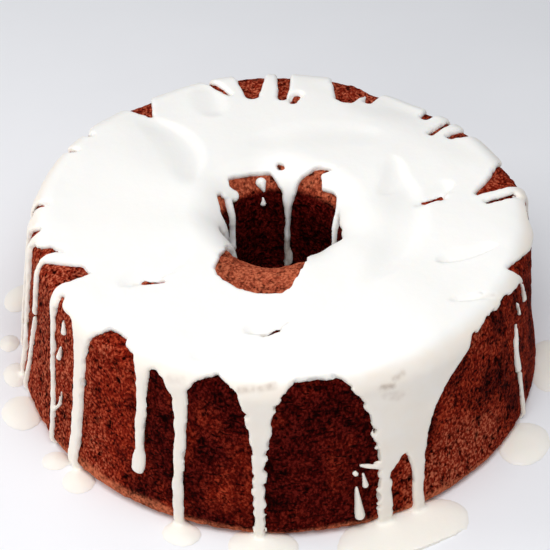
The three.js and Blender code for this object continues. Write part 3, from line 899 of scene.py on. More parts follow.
    gaps: tuple[Slot, ...] = (
        # windows and slits in the rim at the back, from left to right
        Slot(Spot(-139.5, -7.5, 2.5), Spot(-140.5, 14, 24)),
        Slot(Spot(-164.8, -11, 1.8), Spot(-160.2, 6, 3.4)),
        Slot(Spot(-171.5, -13.5, 6), Spot(-172, 8, 18)),
        Slot(Spot(179, -16, 4.6), Spot(179, 8, 6.8)),
        Slot(Spot(175.6, -20, 3), Spot(174.9, -15, 4.8)),
        Slot(Spot(159.8, -10, 10), Spot(161, 10, 26)),
        Slot(Spot(153.6, -7, 3.6), Spot(154.5, 8, 10)),
        Slot(Spot(136.6, -1.4, 5.0), Spot(136.8, 12, 10)),
        Slot(Spot(129.2, -11, 2.6), Spot(131, 9, 3.2)),
        Slot(Spot(124.6, -5, 3.6), Spot(124, 12, 10)),
        # the bare corner and the slit at the right, and the window under the sheet's tongue
        Slot(Spot(98.3, -13, 1.6), Spot(105.5, 10, 19)),
        Slot(Spot(94.2, -9.4, 1.4), Spot(96.6, 4.5, 2.6)),
        Slot(Spot(69.3, 3.5, 1.6), Spot(76, 16, 17)),
        # the fork in the widest drip
        Slot(Spot(26.5, 52.5, 3), Spot(26, 61, 10.2)),
        Slot(Spot(26, 61, 10.2), Spot(26.1, 98, 9.6)),
        # bare patches under the rim at the left
        Slot(Spot(-63.3, -10.5, 1.6), Spot(-66.8, 10, 14.5)),
        Slot(Spot(-65.4, -6.6, 8.4), Spot(-67.4, 8, 18.6)),
        Slot(Spot(-73.8, -3.8, 1.6), Spot(-75.2, 1.6, 3.6)),
        Slot(Spot(-75.2, 1.6, 3.6), Spot(-76.4, 8, 4.4)),
        Slot(Spot(-59.2, 5.4, 3.0), Spot(-57.4, 14, 4.8)),
        Slot(Spot(-57.4, 14, 4.6), Spot(-55, 18, 5)),
        # the edge of the sheet right of the widest drip
        Slot(Spot(51.0, 10.2, 1.8), Spot(46.8, 12.6, 5.2)),
        Slot(Spot(46.8, 12.6, 5.2), Spot(44.8, 18.5, 2.4)),
        # the slit down the left of the hole
        Slot(Spot(-119.5, -75.5, 4.6), Spot(-112.5, -84, 3.6)),
        Slot(Spot(-112.5, -84, 3.6), Spot(-110.5, -97, 3.2)),
        # nicks in the rim at the far left
        Slot(Spot(-91.9, 2.6, 2.0), Spot(-93.1, 7.4, 3.4)),
        Slot(Spot(-83.4, 5.0, 2.6), Spot(-83.6, 9.6, 4.0)),
        Slot(Spot(-90.4, 8.4, 1.4), Spot(-90.6, 13.0, 3.6)),
        # short slits in the top
        Slot(Spot(180, -69.6, 2.4), Spot(178, -69.9, 2.4)),
        Slot(Spot(-46.4, -34.6, 2.4), Spot(-49.8, -29.0, 3.8)),
        Slot(Spot(-4.6, -21.6, 1.6), Spot(-0.4, -25.4, 2.2)),
        Slot(Spot(96.2, -38.4, 1.8), Spot(97.9, -30.2, 3.4)),
        # a notch under the rim at the back left
        Slot(Spot(-124, 6, 2), Spot(-124, 16, 6)),
        # points and nicks at the tops of the front windows
        Slot(Spot(-28.4, 9.8, 1.2), Spot(-26.0, 13.0, 4.0)),
        Slot(Spot(-19.2, 12.4, 1.4), Spot(-16.6, 11.0, 4.0)),
        Slot(Spot(-8.6, 19.0, 2.6), Spot(-6.7, 19.8, 1.0)),
        Slot(Spot(1.6, 12.6, 2.4), Spot(-0.6, 15.2, 0.8)),
        # the bare hook at the back of the lip
        Slot(Spot(142.6, -66.2, 1.0), Spot(150.5, -69.8, 4.2)),
        # open pores at the left edge of the widest drip
        Slot(Spot(17.8, 31.6, 2.2), Spot(19.2, 32.1, 2.6)),
        Slot(Spot(17.8, 41.2, 2.0), Spot(19.2, 41.6, 2.4)),
        Slot(Spot(17.9, 45.6, 1.6), Spot(19.5, 45.4, 2.0)),
        Slot(Spot(17.9, 49.4, 1.6), Spot(19.4, 49.0, 2.0)),
        Slot(Spot(17.9, 57.2, 2.8), Spot(19.0, 57.0, 3.8)),
        Slot(Spot(18.4, 69.6, 2.0), Spot(19.8, 70.0, 2.4)),
        # open pores at both edges of the front drip
        Slot(Spot(-1.6, 39.8, 2.0), Spot(-2.3, 39.8, 2.4)),
        Slot(Spot(-1.8, 48.3, 3.2), Spot(-2.3, 48.3, 3.6)),
        Slot(Spot(-1.8, 57.6, 2.4), Spot(-2.3, 57.6, 2.8)),
        Slot(Spot(-6.4, 57.4, 1.8), Spot(-5.8, 57.4, 2.2)),
        Slot(Spot(-6.3, 65.1, 1.8), Spot(-5.7, 65.1, 2.4)),
        # scallops in the rim at the back left
        Slot(Spot(-121.8, 1.8, 1.2), Spot(-122.4, 10.0, 4.0)),
        Slot(Spot(-114.4, 1.6, 1.4), Spot(-115.0, 10.0, 4.6)),
    )
    threads: tuple[Slot, ...] = (
        # the strand at the right
        Slot(Spot(65.4, 29.5, 1.0), Spot(64.2, 40, 2.6)),
        Slot(Spot(64.2, 40, 2.6), Spot(64.3, 54, 3.8)),
        Slot(Spot(64.8, 57.5, 2.2), Spot(66.3, 100, 3.2)),
        # the spur beside the widest drip
        Slot(Spot(17.0, 51.2, 1.6), Spot(20.6, 54, 3.0)),
        # the strands at the left
        Slot(Spot(-72.0, 37.6, 1.5), Spot(-72.6, 56.0, 2.6)),
        Slot(Spot(-72.6, 56.0, 2.6), Spot(-75.0, 100.0, 2.4)),
        Slot(Spot(-54.8, 53.0, 1.0), Spot(-54.9, 60.0, 1.6)),
        Slot(Spot(-54.9, 60.0, 1.6), Spot(-56.8, 67.0, 2.4)),
        # the lobe over the lip, and the swelling of the drip at the back of the hole
        Slot(Spot(-129.0, -74.5, 8.0), Spot(-133.5, -77.2, 6.2)),
        Slot(Spot(170.6, -110.0, 2.4), Spot(170.2, -121.0, 4.4)),
    )
    dents: tuple[Dent, ...] = (
        Dent((-72.0, -54.0), (-38.0, -24.0), 6.5, 15.0, 2.8, 0.76),
        Dent((-16.0, -83.0), (7.0, -72.0), 3.2, 11.0, 2.4, 0.78),
        Dent((61.0, 3.0), (82.0, 22.0), 2.6, 10.0, 2.8, 0.76),
        Dent((69.0, -36.0), (99.0, -24.0), 2.2, 8.0, 1.5, 0.8),
        Dent((73.0, -62.4), (101.0, -56.0), 0.6, 4.0, 1.2, 0.72),
        Dent((36.0, -54.0), (50.0, 40.0), 17.5, 17.0, 10.0, 0.62),
        Dent((46.0, 10.0), (54.0, 42.0), 6.0, 9.0, 6.0, 0.4),
        Dent((-42.0, 16.0), (-68.0, 74.0), 12.0, 18.0, 8.0, 0.62),
        Dent((-30.0, 72.0), (-38.0, 103.0), 1.0, 14.0, 8.0, 0.5),
        Dent((54.0, 57.0), (-18.0, 52.0), 5.0, 15.0, 11.0, 0.28),
        Dent((-38.0, -101.0), (-18.0, -89.0), 0.0, 9.0, 5.0, 0.3),
    )
    thin_and_shaded_spots: tuple[tuple[Slot, float], ...] = (
        (Slot(Spot(-8.4, 8.2, 2.0), Spot(-5.6, 7.0, 2.2)), 0.42),
        (Slot(Spot(-4.2, 7.2, 1.8), Spot(-1.0, 5.8, 2.2)), 0.5),
        (Slot(Spot(21.6, 11.4, 1.8), Spot(24.2, 11.8, 1.8)), 0.62),
        (Slot(Spot(24.4, 9.6, 1.4), Spot(26.8, 8.4, 1.8)), 0.42),
        (Slot(Spot(22.6, 15.5, 4.0), Spot(25.4, 17.5, 5.0)), 0.2),
        (Slot(Spot(-23.6, 9.2, 3.0), Spot(-20.8, 8.6, 3.0)), 0.22),
        # creases in the top: painted shade along the wrinkles
        (Slot(Spot(64.0, -26.5, 0.4), Spot(69.8, -14.2, 0.8)), 0.3),
        (Slot(Spot(69.8, -14.2, 0.8), Spot(74.2, -7.6, 0.7)), 0.36),
        (Slot(Spot(51.6, -5.5, 0.4), Spot(59.0, 3.2, 0.8)), 0.36),
        # the crumb showing through at the slits in the top
        (Slot(Spot(-51.8, -24.0, 0.6), Spot(-47.5, -33.0, 1.2)), 0.45),
        (Slot(Spot(-47.5, -33.0, 1.2), Spot(-48.0, -41.0, 0.6)), 0.35),
        (Slot(Spot(-8.6, -22.4, 0.6), Spot(-2.7, -22.2, 1.4)), 0.45),
        (Slot(Spot(-2.7, -22.2, 1.4), Spot(2.6, -30.4, 0.6)), 0.45),
        (Slot(Spot(94.5, -42.8, 0.6), Spot(96.6, -34.6, 1.4)), 0.45),
        (Slot(Spot(96.6, -34.6, 1.4), Spot(99.6, -25.6, 0.6)), 0.45),
        # the drip deep in the hole, darkened towards the crumb's colour
        (Slot(Spot(171.2, -107.0, 3.0), Spot(170.6, -126.0, 5.0)), 0.8),
    )
    drops: tuple[Slot, ...] = (
        # on the left side
        Slot(Spot(-55.5, 13.0, 0.9), Spot(-55.2, 18.8, 3.2)),
        Slot(Spot(-56.0, 28.5, 0.8), Spot(-56.5, 35.0, 3.3)),
        # beside the widest drip
        Slot(Spot(15.9, 63.5, 1.5), Spot(16.5, 79.0, 4.8)),
        Slot(Spot(15.6, 54.6, 2.4), Spot(15.8, 55.2, 2.5)),
        Slot(Spot(17.4, 56.5, 1.2), Spot(17.8, 62.5, 3.0)),
        # in the strand at the right
        Slot(Spot(67.2, 20.5, 0.9), Spot(67.9, 27.5, 1.6)),
        # in the hole
        Slot(Spot(-163.4, -76.2, 5.4), Spot(-164.8, -80.4, 1.5)),
        Slot(Spot(-163.4, -84.2, 1.0), Spot(-163.2, -87.0, 3.0)),
    )

    @cached_property
    def chart(self) -> Chart:
        """The chart that the plan is drawn on."""
        return Chart(self.shape)

    @cached_property
    def inside(self) -> Array:
        """How deep inside the glazed part each place of the chart is. It is negative where it is bare."""
        chart, places = self.chart, self.chart.places
        azimuth = chart.azimuth
        floor = self.shape.last_run + self.floor_overlap
        hole_floor = -self.shape.hole_end - self.shape.top_width - self.hole_end
        sheet = line_value(self.rim_line, azimuth) - chart.run
        hole_sheet = line_value(self.lip_line, azimuth) - chart.past
        for drip in self.drips:
            if drip.way is Way.OUTER_SIDE:
                depth = drip.depth(places, chart.run, self.shape.wall_end, floor)
                sheet = meld(sheet, depth, self.sheet_round)
            else:
                depth = drip.depth(places, chart.past, self.shape.wall_end, hole_floor)
                hole_sheet = meld(hole_sheet, depth, self.sheet_round)
        depth = np.minimum(sheet, hole_sheet)
        for gap in self.gaps:
            depth = -meld(-depth, gap.depth(places), self.gap_round)
        nicks = self.nick_width * Noise(self.nick_seed).layers(chart.points, self.nick_size, 2)
        bends = self.bends.at(chart.points) + nicks
        depth = depth + bends - self._bites(depth)
        for thread in self.threads:
            depth = np.maximum(depth, thread.depth(places) + self.thread_bend * bends)
        return depth

    def _bites(self, depth: Array) -> Array:
        """How far the open pores under the glaze's edge bite into it.

        Args:
            depth: How deep inside the glazed part each place of the chart is.

        Returns:
            The distance for each place.
        """
        points, azimuth = self.chart.points, self.chart.azimuth
        on_side = smooth((self.chart.run - self.bite_start) / self.bite_fade)
        nibbled = line_value(self.nibble_line, azimuth) * (self.top_bite + (1.0 - self.top_bite) * on_side)
        toothed = line_value(self.tooth_line, azimuth) * on_side
        pores = smooth(self.pore_gain * CRUMB.pores(points, self.chart.run))
        teeth = smooth(self.teeth.at(points * np.array(self.tooth_squeeze)) - self.tooth_floor)
        near_edge = smooth(self.bite_reach + self.bite_share * (nibbled + toothed) - depth)
        return (nibbled * pores + toothed * teeth) * near_edge

    @cached_property
    def sheer_and_shade(self) -> Array:
        """How far the crumb shows through the glaze, and how dark the painted shade in the creases is, from 0
        to 1.
        """
        chart = self.chart
        places = Places(chart.azimuth, chart.run, chart.places.radius)
        mottle = self.mottle_middle + self.mottle.at(chart.points)
        shown_and_shade = np.zeros(chart.points.shape[:-1])
        for slot, share in self.thin_and_shaded_spots:
            near = smooth((slot.depth(places) + self.sheer_reach) / self.sheer_fade)
            shown_and_shade = np.maximum(shown_and_shade, share * near)
        return np.clip(shown_and_shade * mottle, 0.0, 1.0)

    @cached_property
    def thickness(self) -> Array:
        """How thick the glaze is, away from its edge."""
        points = self.chart.points
        on_top = smooth((self.top_end - self.chart.run) / self.top_fade)
        poured = self.poured + self.poured_waves.at(points)
        run_down = self.run_down + self.run_down_waves.at(points)
        lobes = self.lobes.at(points) * smooth((self.chart.run - self.lobe_start) / self.lobe_fade)
        thick = (poured + lobes) * on_top + run_down * (1.0 - on_top)
        for dent in self.dents:
            thick = thick * (1.0 - dent.share(points) * on_top)
        return thick


# --------------------------------------------------------------------------------------------------------
# Meshes


@dataclass(frozen=True)
class SurfaceNet:
    """Turns a field on a grid of corners into a mesh of four-sided faces where the field is 0.

    Attributes:
        low: The grid's lowest corner.
        step: The distance between corners.
        counts: How many corners there are each way.
    """

    low: Array
    step: float
    counts: tuple[int, int, int]

    def axes(self) -> list[Array]:
        """The places of the corners along each axis."""
        return [self.low[axis] + np.arange(self.counts[axis]) * self.step for axis in range(3)]

    def corners(self) -> Array:
        """The place of every corner of the grid."""
        return np.stack(np.meshgrid(*self.axes(), indexing="ij"), -1)

    def mesh(self, values: Array) -> tuple[Array, Whole]:
        """The surface between the corners below 0 and those above it.

        Args:
            values: The field at each corner.

        Returns:
            The points, and four point numbers for each face.
        """
        strides = np.array([self.counts[1] * self.counts[2], self.counts[2], 1])
        flat = values.ravel()
        sums: list[Array] = []
        cells: list[Whole] = []
        faces: list[Whole] = []
        for axis in range(3):
            near = [slice(None)] * 3
            near[axis] = slice(0, -1)
            far = [slice(None)] * 3
            far[axis] = slice(1, None)
            crossed = np.argwhere((values[tuple(near)] < 0) != (values[tuple(far)] < 0))
            number = crossed @ strides
            first, second = flat[number], flat[number + strides[axis]]
            place = crossed.astype(float)
            place[:, axis] += first / (first - second)
            one, two = strides[(axis + 1) % 3], strides[(axis + 2) % 3]
            around = np.stack([number, number - one, number - one - two, number - two], -1)
            rising = (first < 0)[:, None]
            faces.append(np.where(rising, around, around[:, ::-1]))
            sums.append(np.repeat(place, 4, axis=0))
            cells.append(around.ravel())
        used, index = np.unique(np.concatenate(cells), return_inverse=True)
        places = np.concatenate(sums)
        hits = np.bincount(index)
        mean = np.stack([np.bincount(index, places[:, axis]) / hits for axis in range(3)], -1)
        numbers = np.searchsorted(used, np.concatenate(faces))
        return self.low + mean * self.step, numbers


def relaxed(points: Array, faces: Whole, share: float) -> Array:
    """The points moved a share of the way to the middle of their neighbours.

    Args:
        points: A mesh's corners.
        faces: Four corner numbers for each face.
        share: How far they move, from 0 to 1.

    Returns:
        The moved corners.
    """
    ends = np.concatenate([faces[:, [side, (side + 1) % 4]] for side in range(4)])
    ends = np.concatenate([ends, ends[:, ::-1]])
    hits = np.maximum(np.bincount(ends[:, 0], minlength=len(points)), 1)
    total = [np.bincount(ends[:, 0], points[ends[:, 1], axis], len(points)) for axis in range(3)]
    return points + share * (np.stack(total, -1) / hits[:, None] - points)


def slopes(field: Callable[[Array], Array], points: Array, reach: float = 0.25) -> Array:
    """The field's gradient at each point.

    Args:
        field: A function of places in space.
        points: The places.
        reach: How far to each side of them it is read.

    Returns:
        Three slopes for each place.
    """
    parts = []
    for axis in range(3):
        offset = np.zeros(3)
        offset[axis] = reach
        parts.append((field(points + offset) - field(points - offset)) / (2 * reach))
    return np.stack(parts, -1)


def drawn_on(field: Callable[[Array], Array], points: Array, farthest: float) -> Array:
    """The points moved onto the place where the field is 0, each by a limited way.

    Args:
        field: A function of places in space.
        points: The places.
        farthest: How far a place may move.

    Returns:
        The moved places.
    """
    slope = slopes(field, points)
    steepness = np.maximum(np.sum(slope * slope, -1, keepdims=True), 0.05)
    move = -field(points)[:, None] * slope / steepness
    length = np.linalg.norm(move, axis=-1, keepdims=True)
    return points + move * np.minimum(1.0, farthest / np.maximum(length, 1e-9))


def store(mesh: bpy.types.Mesh, attribute: str, values: Array) -> None:
    """Stores a value for each corner of a mesh."""
    layer = mesh.attributes.new(attribute, "FLOAT", "POINT")
    layer.data.foreach_set("value", values.astype(np.float32))


def make_piece(name: str, points: Array, faces: list[list[int]], material: bpy.types.Material,
               attributes: dict[str, Array] | None = None) -> bpy.types.Object:
    """A smooth-shaded object from points in millimetres.

    Args:
        name: The object's name.
        points: The places of its corners.
        faces: The corner numbers of each face.
        material: Its finish.
        attributes: Values that the finish reads, one for each corner.

    Returns:
        The new object, linked to the scene.
    """
    mesh = bpy.data.meshes.new(name)
    mesh.from_pydata((points * MM).tolist(), [], faces)
    for attribute, values in (attributes or {}).items():
        store(mesh, attribute, values)
    mesh.shade_smooth()
    mesh.materials.append(material)
    piece = bpy.data.objects.new(name, mesh)
    bpy.context.scene.collection.objects.link(piece)
    return piece


# --------------------------------------------------------------------------------------------------------
# Finishes


class Value:
    """A value that varies over a surface, with Python's arithmetic on it."""

    def __init__(self, graph: "Graph", socket: bpy.types.NodeSocket) -> None:
        """Wraps a node's output socket."""
        self.graph = graph
        self.socket = socket

    def _maths(self, operation: str, *values: "Value | float") -> "Value":
        """One Math node on the values."""
        linked = dict(enumerate(values))
        return self.graph.node("ShaderNodeMath", {"operation": operation}, linked)

    def __add__(self, other: "Value | float") -> "Value":
        """The sum."""
        return self._maths("ADD", self, other)

    __radd__ = __add__

    def __sub__(self, other: "Value | float") -> "Value":
        """The difference."""
        return self._maths("SUBTRACT", self, other)

    def __rsub__(self, other: "Value | float") -> "Value":
        """The difference, from a number."""
        return self._maths("SUBTRACT", other, self)

    def __mul__(self, other: "Value | float") -> "Value":
        """The product."""
        return self._maths("MULTIPLY", self, other)

    __rmul__ = __mul__

    def between(self, low: float, high: float) -> "Value":
        """A soft step from 0 at low to 1 at high.

        Args:
            low: Where the step starts.
            high: Where it ends.

        Returns:
            The value, from 0 to 1.
        """
        values = {"Value": self, "From Min": low, "From Max": high}
        settings = {"interpolation_type": "SMOOTHSTEP"}
        return self.graph.node("ShaderNodeMapRange", settings, values, "Result")


class Graph:
    """A material and the nodes that make it."""

    def __init__(self, name: str) -> None:
        """Starts an empty material."""
        self.material = bpy.data.materials.new(name)
        self.material.use_nodes = True
        self.material.node_tree.nodes.clear()

    def node(self, kind: str, settings: dict[str, object] | None = None,
             values: dict[str | int, "Value | float | tuple"] | None = None,
             output: str | int = 0) -> Value:
        """One node.

        Args:
            kind: The node's type.
            settings: What is set on the node itself, before its sockets.
            values: What goes into its sockets, by name or number: links or constants.
            output: The socket that is handed back.

        Returns:
            The wanted output.
        """
        node = self.material.node_tree.nodes.new(kind)
        for name, setting in (settings or {}).items():
            setattr(node, name, setting)
        for name, value in (values or {}).items():
            socket = node.inputs[name]
            if isinstance(value, Value):
                self.material.node_tree.links.new(value.socket, socket)
            else:
                socket.default_value = value
        return Value(self, node.outputs[output])

    def place(self, stretch: tuple[float, float, float] = (1.0, 1.0, 1.0)) -> Value:
        """The place on the object in millimetres, squeezed along the axes by the stretch.

        Args:
            stretch: A factor for each axis.

        Returns:
            The place, as a vector.
        """
        where = self.node("ShaderNodeTexCoord", output="Object")
        scale = tuple(1.0 / MM * part for part in stretch)
        return self.node("ShaderNodeVectorMath", {"operation": "MULTIPLY"}, {0: where, 1: scale})

    def height(self) -> Value:
        """The height above the floor in millimetres."""
        return self.node("ShaderNodeSeparateXYZ", values={0: self.place()}, output="Z")

    def noise(self, place: Value, size: float, detail: float = 2.0, roughness: float = 0.5) -> Value:
        """Noise whose features are as large as size, in millimetres."""
        values = {"Vector": place, "Scale": 1.0 / size, "Detail": detail, "Roughness": roughness}
        return self.node("ShaderNodeTexNoise", {"noise_dimensions": "3D"}, values, "Fac")

    def cells(self, place: Value, size: float) -> Value:
        """The distance to the nearest of many scattered points, size millimetres apart."""
        return self.node("ShaderNodeTexVoronoi", {"feature": "F1"}, {"Vector": place, "Scale": 1.0 / size})

    def attribute(self, name: str) -> Value:
        """A value that the mesh holds."""
        return self.node("ShaderNodeAttribute", {"attribute_name": name}, output="Fac")

    def mix(self, first: "Value | Colour", second: "Value | Colour", share: "Value | float") -> Value:
        """The first colour turning into the second.

        Args:
            first: The colour where the share is 0.
            second: The colour where it is 1.
            share: How much of the second there is.

        Returns:
            The mixed colour.
        """
        settings = {"data_type": "RGBA"}
        colours = [c if isinstance(c, Value) else (*c, 1.0) for c in (first, second)]
        return self.node("ShaderNodeMix", settings, {0: share, 6: colours[0], 7: colours[1]}, 2)

    def bump(self, height: Value, distance: float, strength: float) -> Value:
        """A normal that leans with the height, which is in units of distance millimetres."""
        values = {"Height": height, "Distance": distance * MM, "Strength": strength}
        return self.node("ShaderNodeBump", None, values)

    def finish(self, **values: "Value | float | tuple") -> bpy.types.Material:
        """Ends the material in one shader, whose sockets are named with _ for a space.

        Args:
            values: What goes into the shader's sockets.

        Returns:
            The material.
        """
        sockets = {name.replace("_", " "): value for name, value in values.items()}
        shader = self.node("ShaderNodeBsdfPrincipled", None, sockets)
        output = self.material.node_tree.nodes.new("ShaderNodeOutputMaterial")
        self.material.node_tree.links.new(shader.socket, output.inputs["Surface"])
        return self.material


@dataclass(frozen=True)
class CrumbFinish:
    """The open crumb of a chocolate sponge: painted shade in its pores, redder grains, and a paler band at
    its foot.

    Attributes:
        deep: The colour of the painted shade in the pores, pits, crevices and hollows, and of the darker
            patches.
        moist_and_shaded, moist_and_shaded_crest: The darkest crumb, and the tops of its grains: moister
            crumb, and painted shade on the front and in the hole.
        russet, russet_crest: The middle crumb, and the tops of its grains.
        dry_and_lit, dry_and_lit_crest: The palest crumb, and the tops of its grains: drier crumb, and painted
            light on the lit left and low right.
        crust_and_bounce: The band at the foot, and the lip: crust, and at the foot also painted light from
            the floor.
        grain_size, clump_size, slow_size, patch_size: The sizes of the colour's unevenness.
        split_size, streak_size: The sizes of the flat splits where the crumb is darker and of the upright
        streaks where it is paler.
        pore_size, cell_size: The distances between pores and between grains.
        crest_span, pit_span: The tones between which a grain's top and the space round it set in.
    """

    deep: Colour = (0.006, 0.0002, 0.0001)
    moist_and_shaded: Colour = (0.046, 0.0012, 0.0007)
    moist_and_shaded_crest: Colour = (0.130, 0.0090, 0.0060)
    dry_and_lit: Colour = (0.225, 0.0165, 0.0058)
    russet: Colour = (0.175, 0.0090, 0.0032)
    russet_crest: Colour = (0.430, 0.0510, 0.0180)
    dry_and_lit_crest: Colour = (0.560, 0.1350, 0.0680)
    crust_and_bounce: Colour = (0.600, 0.1620, 0.0770)
    grain_size: float = 1.2
    clump_size: float = 4.0
    slow_size: float = 14.0
    patch_size: float = 30.0
    split_size: float = 1.9
    streak_size: float = 2.0
    pore_size: float = 2.7
    cell_size: float = 1.4
    crest_span: tuple[float, float] = (0.44, 0.68)
    pit_span: tuple[float, float] = (0.30, 0.47)

    def material(self) -> bpy.types.Material:
        """Makes the material."""
        graph = Graph("chocolate_crumb")
        place = graph.place((1.0, 1.0, 0.8))
        grain = graph.noise(place, self.grain_size, 3.0, 0.62)
        clumps = graph.noise(place, self.clump_size, 2.0)
        slow = graph.noise(place, self.slow_size, 2.0)
        patches = graph.noise(place, self.patch_size, 1.0)
        flat, upright = graph.place((0.42, 0.42, 1.5)), graph.place((1.5, 1.5, 0.4))
        splits = graph.noise(flat, self.split_size, 1.0).between(0.60, 0.70)
        streaks = graph.noise(upright, self.streak_size, 1.0).between(0.60, 0.72)
        pores = 1.0 - graph.cells(place, self.pore_size).between(0.10, 0.30)
        # bake_and_light: drier crumb, and painted light and shade: paler on the lit left and low right,
        # darker on the front and down the hole.
        dryness_and_light = graph.attribute("bake_and_light")
        tone = grain * 0.95 + clumps * 0.35 - graph.cells(place, self.cell_size) * 0.35 + 0.015
        crest = tone.between(*self.crest_span)
        pit = 1.0 - tone.between(*self.pit_span)
        bake_and_light = (dryness_and_light + slow * 0.8 + patches * 0.4 - 0.6).between(0.05, 0.95)
        half_bake_and_light, full_bake_and_light = bake_and_light.between(0.0, 0.65), bake_and_light.between(0.5, 1.0)
        # The crumb steps from the darkest to the palest colours with bake_and_light, so these steps carry
        # painted light and shade.
        low = graph.mix(graph.mix(self.moist_and_shaded, self.russet, half_bake_and_light), self.dry_and_lit, full_bake_and_light)
        high = graph.mix(self.moist_and_shaded_crest, self.russet_crest, half_bake_and_light)
        high = graph.mix(high, self.dry_and_lit_crest, full_bake_and_light)
        colour = graph.mix(low, high, crest)
        # crust_and_bounce: crust, with painted bounce light at the foot, which also lifts the painted shade
        # there.
        crust_and_bounce = graph.attribute("crust_and_bounce") * (clumps * 1.2 + 0.4)
        colour = graph.mix(colour, self.crust_and_bounce, crust_and_bounce * (crest * 0.45 + 0.6))
        cracks = splits * (1.0 - dryness_and_light) * 0.9 + streaks * dryness_and_light * 0.5
        gloom = 1.0 - (slow * 0.5 + patches * 0.5).between(0.38, 0.58)
        # Painted shade: the crumb is darkened towards deep in its pits, pores, splits, streaks and hollows,
        # and in slow patches.
        shade = pit * 0.58 + pores * 0.4 + cracks + graph.attribute("hollow_shade") * 0.6 + gloom * 0.3
        shade = shade.between(0.0, 1.1) * (1.0 - crust_and_bounce * 0.35)
        colour = graph.mix(colour, self.deep, shade)
        return graph.finish(
            Base_Color=colour,
            Roughness=grain * 0.2 + 0.8,
            Normal=graph.bump(tone - pores * 0.3, 1.2, 1.0),
            Specular_IOR_Level=0.02,
        )


@dataclass(frozen=True)
class GlazeFinish:
    """A set white sugar glaze with a soft gloss, creamier where it hangs thin, and paler and creamier where
    it pools, which paints light on the pools.

    Attributes:
        body: The thick glaze.
        side: The thin glaze that hangs on the side.
        pool: The glaze on the floor, paler and creamier than on the cake: painted light on the pools.
        shown_and_shade: What the crumb looks like through the thinnest glaze, also used as the painted shade
            in the creases.
        gloss: How rough its smoothest places are.
        slow_size, cloud_size, dimple_size, fine_size: The sizes of its unevenness.
        pool_span: The heights between which a pool turns into a drip.
    """

    body: Colour = (0.885, 0.872, 0.840)
    side: Colour = (0.870, 0.795, 0.705)
    pool: Colour = (0.985, 0.930, 0.845)
    shown_and_shade: Colour = (0.360, 0.260, 0.190)
    gloss: float = 0.32
    slow_size: float = 22.0
    cloud_size: float = 8.0
    dimple_size: float = 7.0
    fine_size: float = 1.1
    pool_span: tuple[float, float] = (0.5, 9.0)

    def material(self) -> bpy.types.Material:
        """Makes the material."""
        graph = Graph("white_glaze")
        place = graph.place()
        slow = graph.noise(place, self.slow_size, 2.0)
        fine = graph.noise(place, self.fine_size, 2.0)
        # Painted light: near the floor the glaze turns to the paler pool colour.
        pooled = 1.0 - graph.height().between(*self.pool_span)
        cloudy = graph.noise(place, self.cloud_size, 2.0)
        hanging = graph.attribute("hanging") * (slow * 0.5 + cloudy * 0.7 + 0.2)
        colour = graph.mix(self.body, self.side, hanging)
        colour = graph.mix(colour, self.pool, pooled)
        colour = graph.mix(colour, self.shown_and_shade, graph.attribute("sheer_and_shade") * (fine * 0.6 + 0.7))
        height = graph.noise(place, self.dimple_size, 2.0) + fine * 0.08
        return graph.finish(
            Base_Color=colour,
            Roughness=self.gloss + slow * 0.12,
            Normal=graph.bump(height, 0.25, 0.6),
            Subsurface_Weight=0.25,
            Subsurface_Radius=(1.0, 0.8, 0.6),
            Subsurface_Scale=1.6 * MM,
            Specular_IOR_Level=0.4,
        )


@dataclass(frozen=True)
class FloorFinish:
    """A plain pale floor.

    Attributes:
        colour: Its colour.
        darkest: How dark its darkest places are against it.
        cloud_size: How wide they are.
        roughness: How rough it is.
    """

    colour: Colour = (0.92, 0.925, 0.95)
    darkest: float = 0.96
    cloud_size: float = 60.0
    roughness: float = 0.45

    def material(self) -> bpy.types.Material:
        """Makes the material."""
        graph = Graph("pale_floor")
        slow = graph.noise(graph.place(), self.cloud_size, 2.0)
        darker = tuple(part * self.darkest for part in self.colour)
        return graph.finish(Base_Color=graph.mix(self.colour, darker, slow), Roughness=self.roughness)


# --------------------------------------------------------------------------------------------------------
# Sub-assemblies


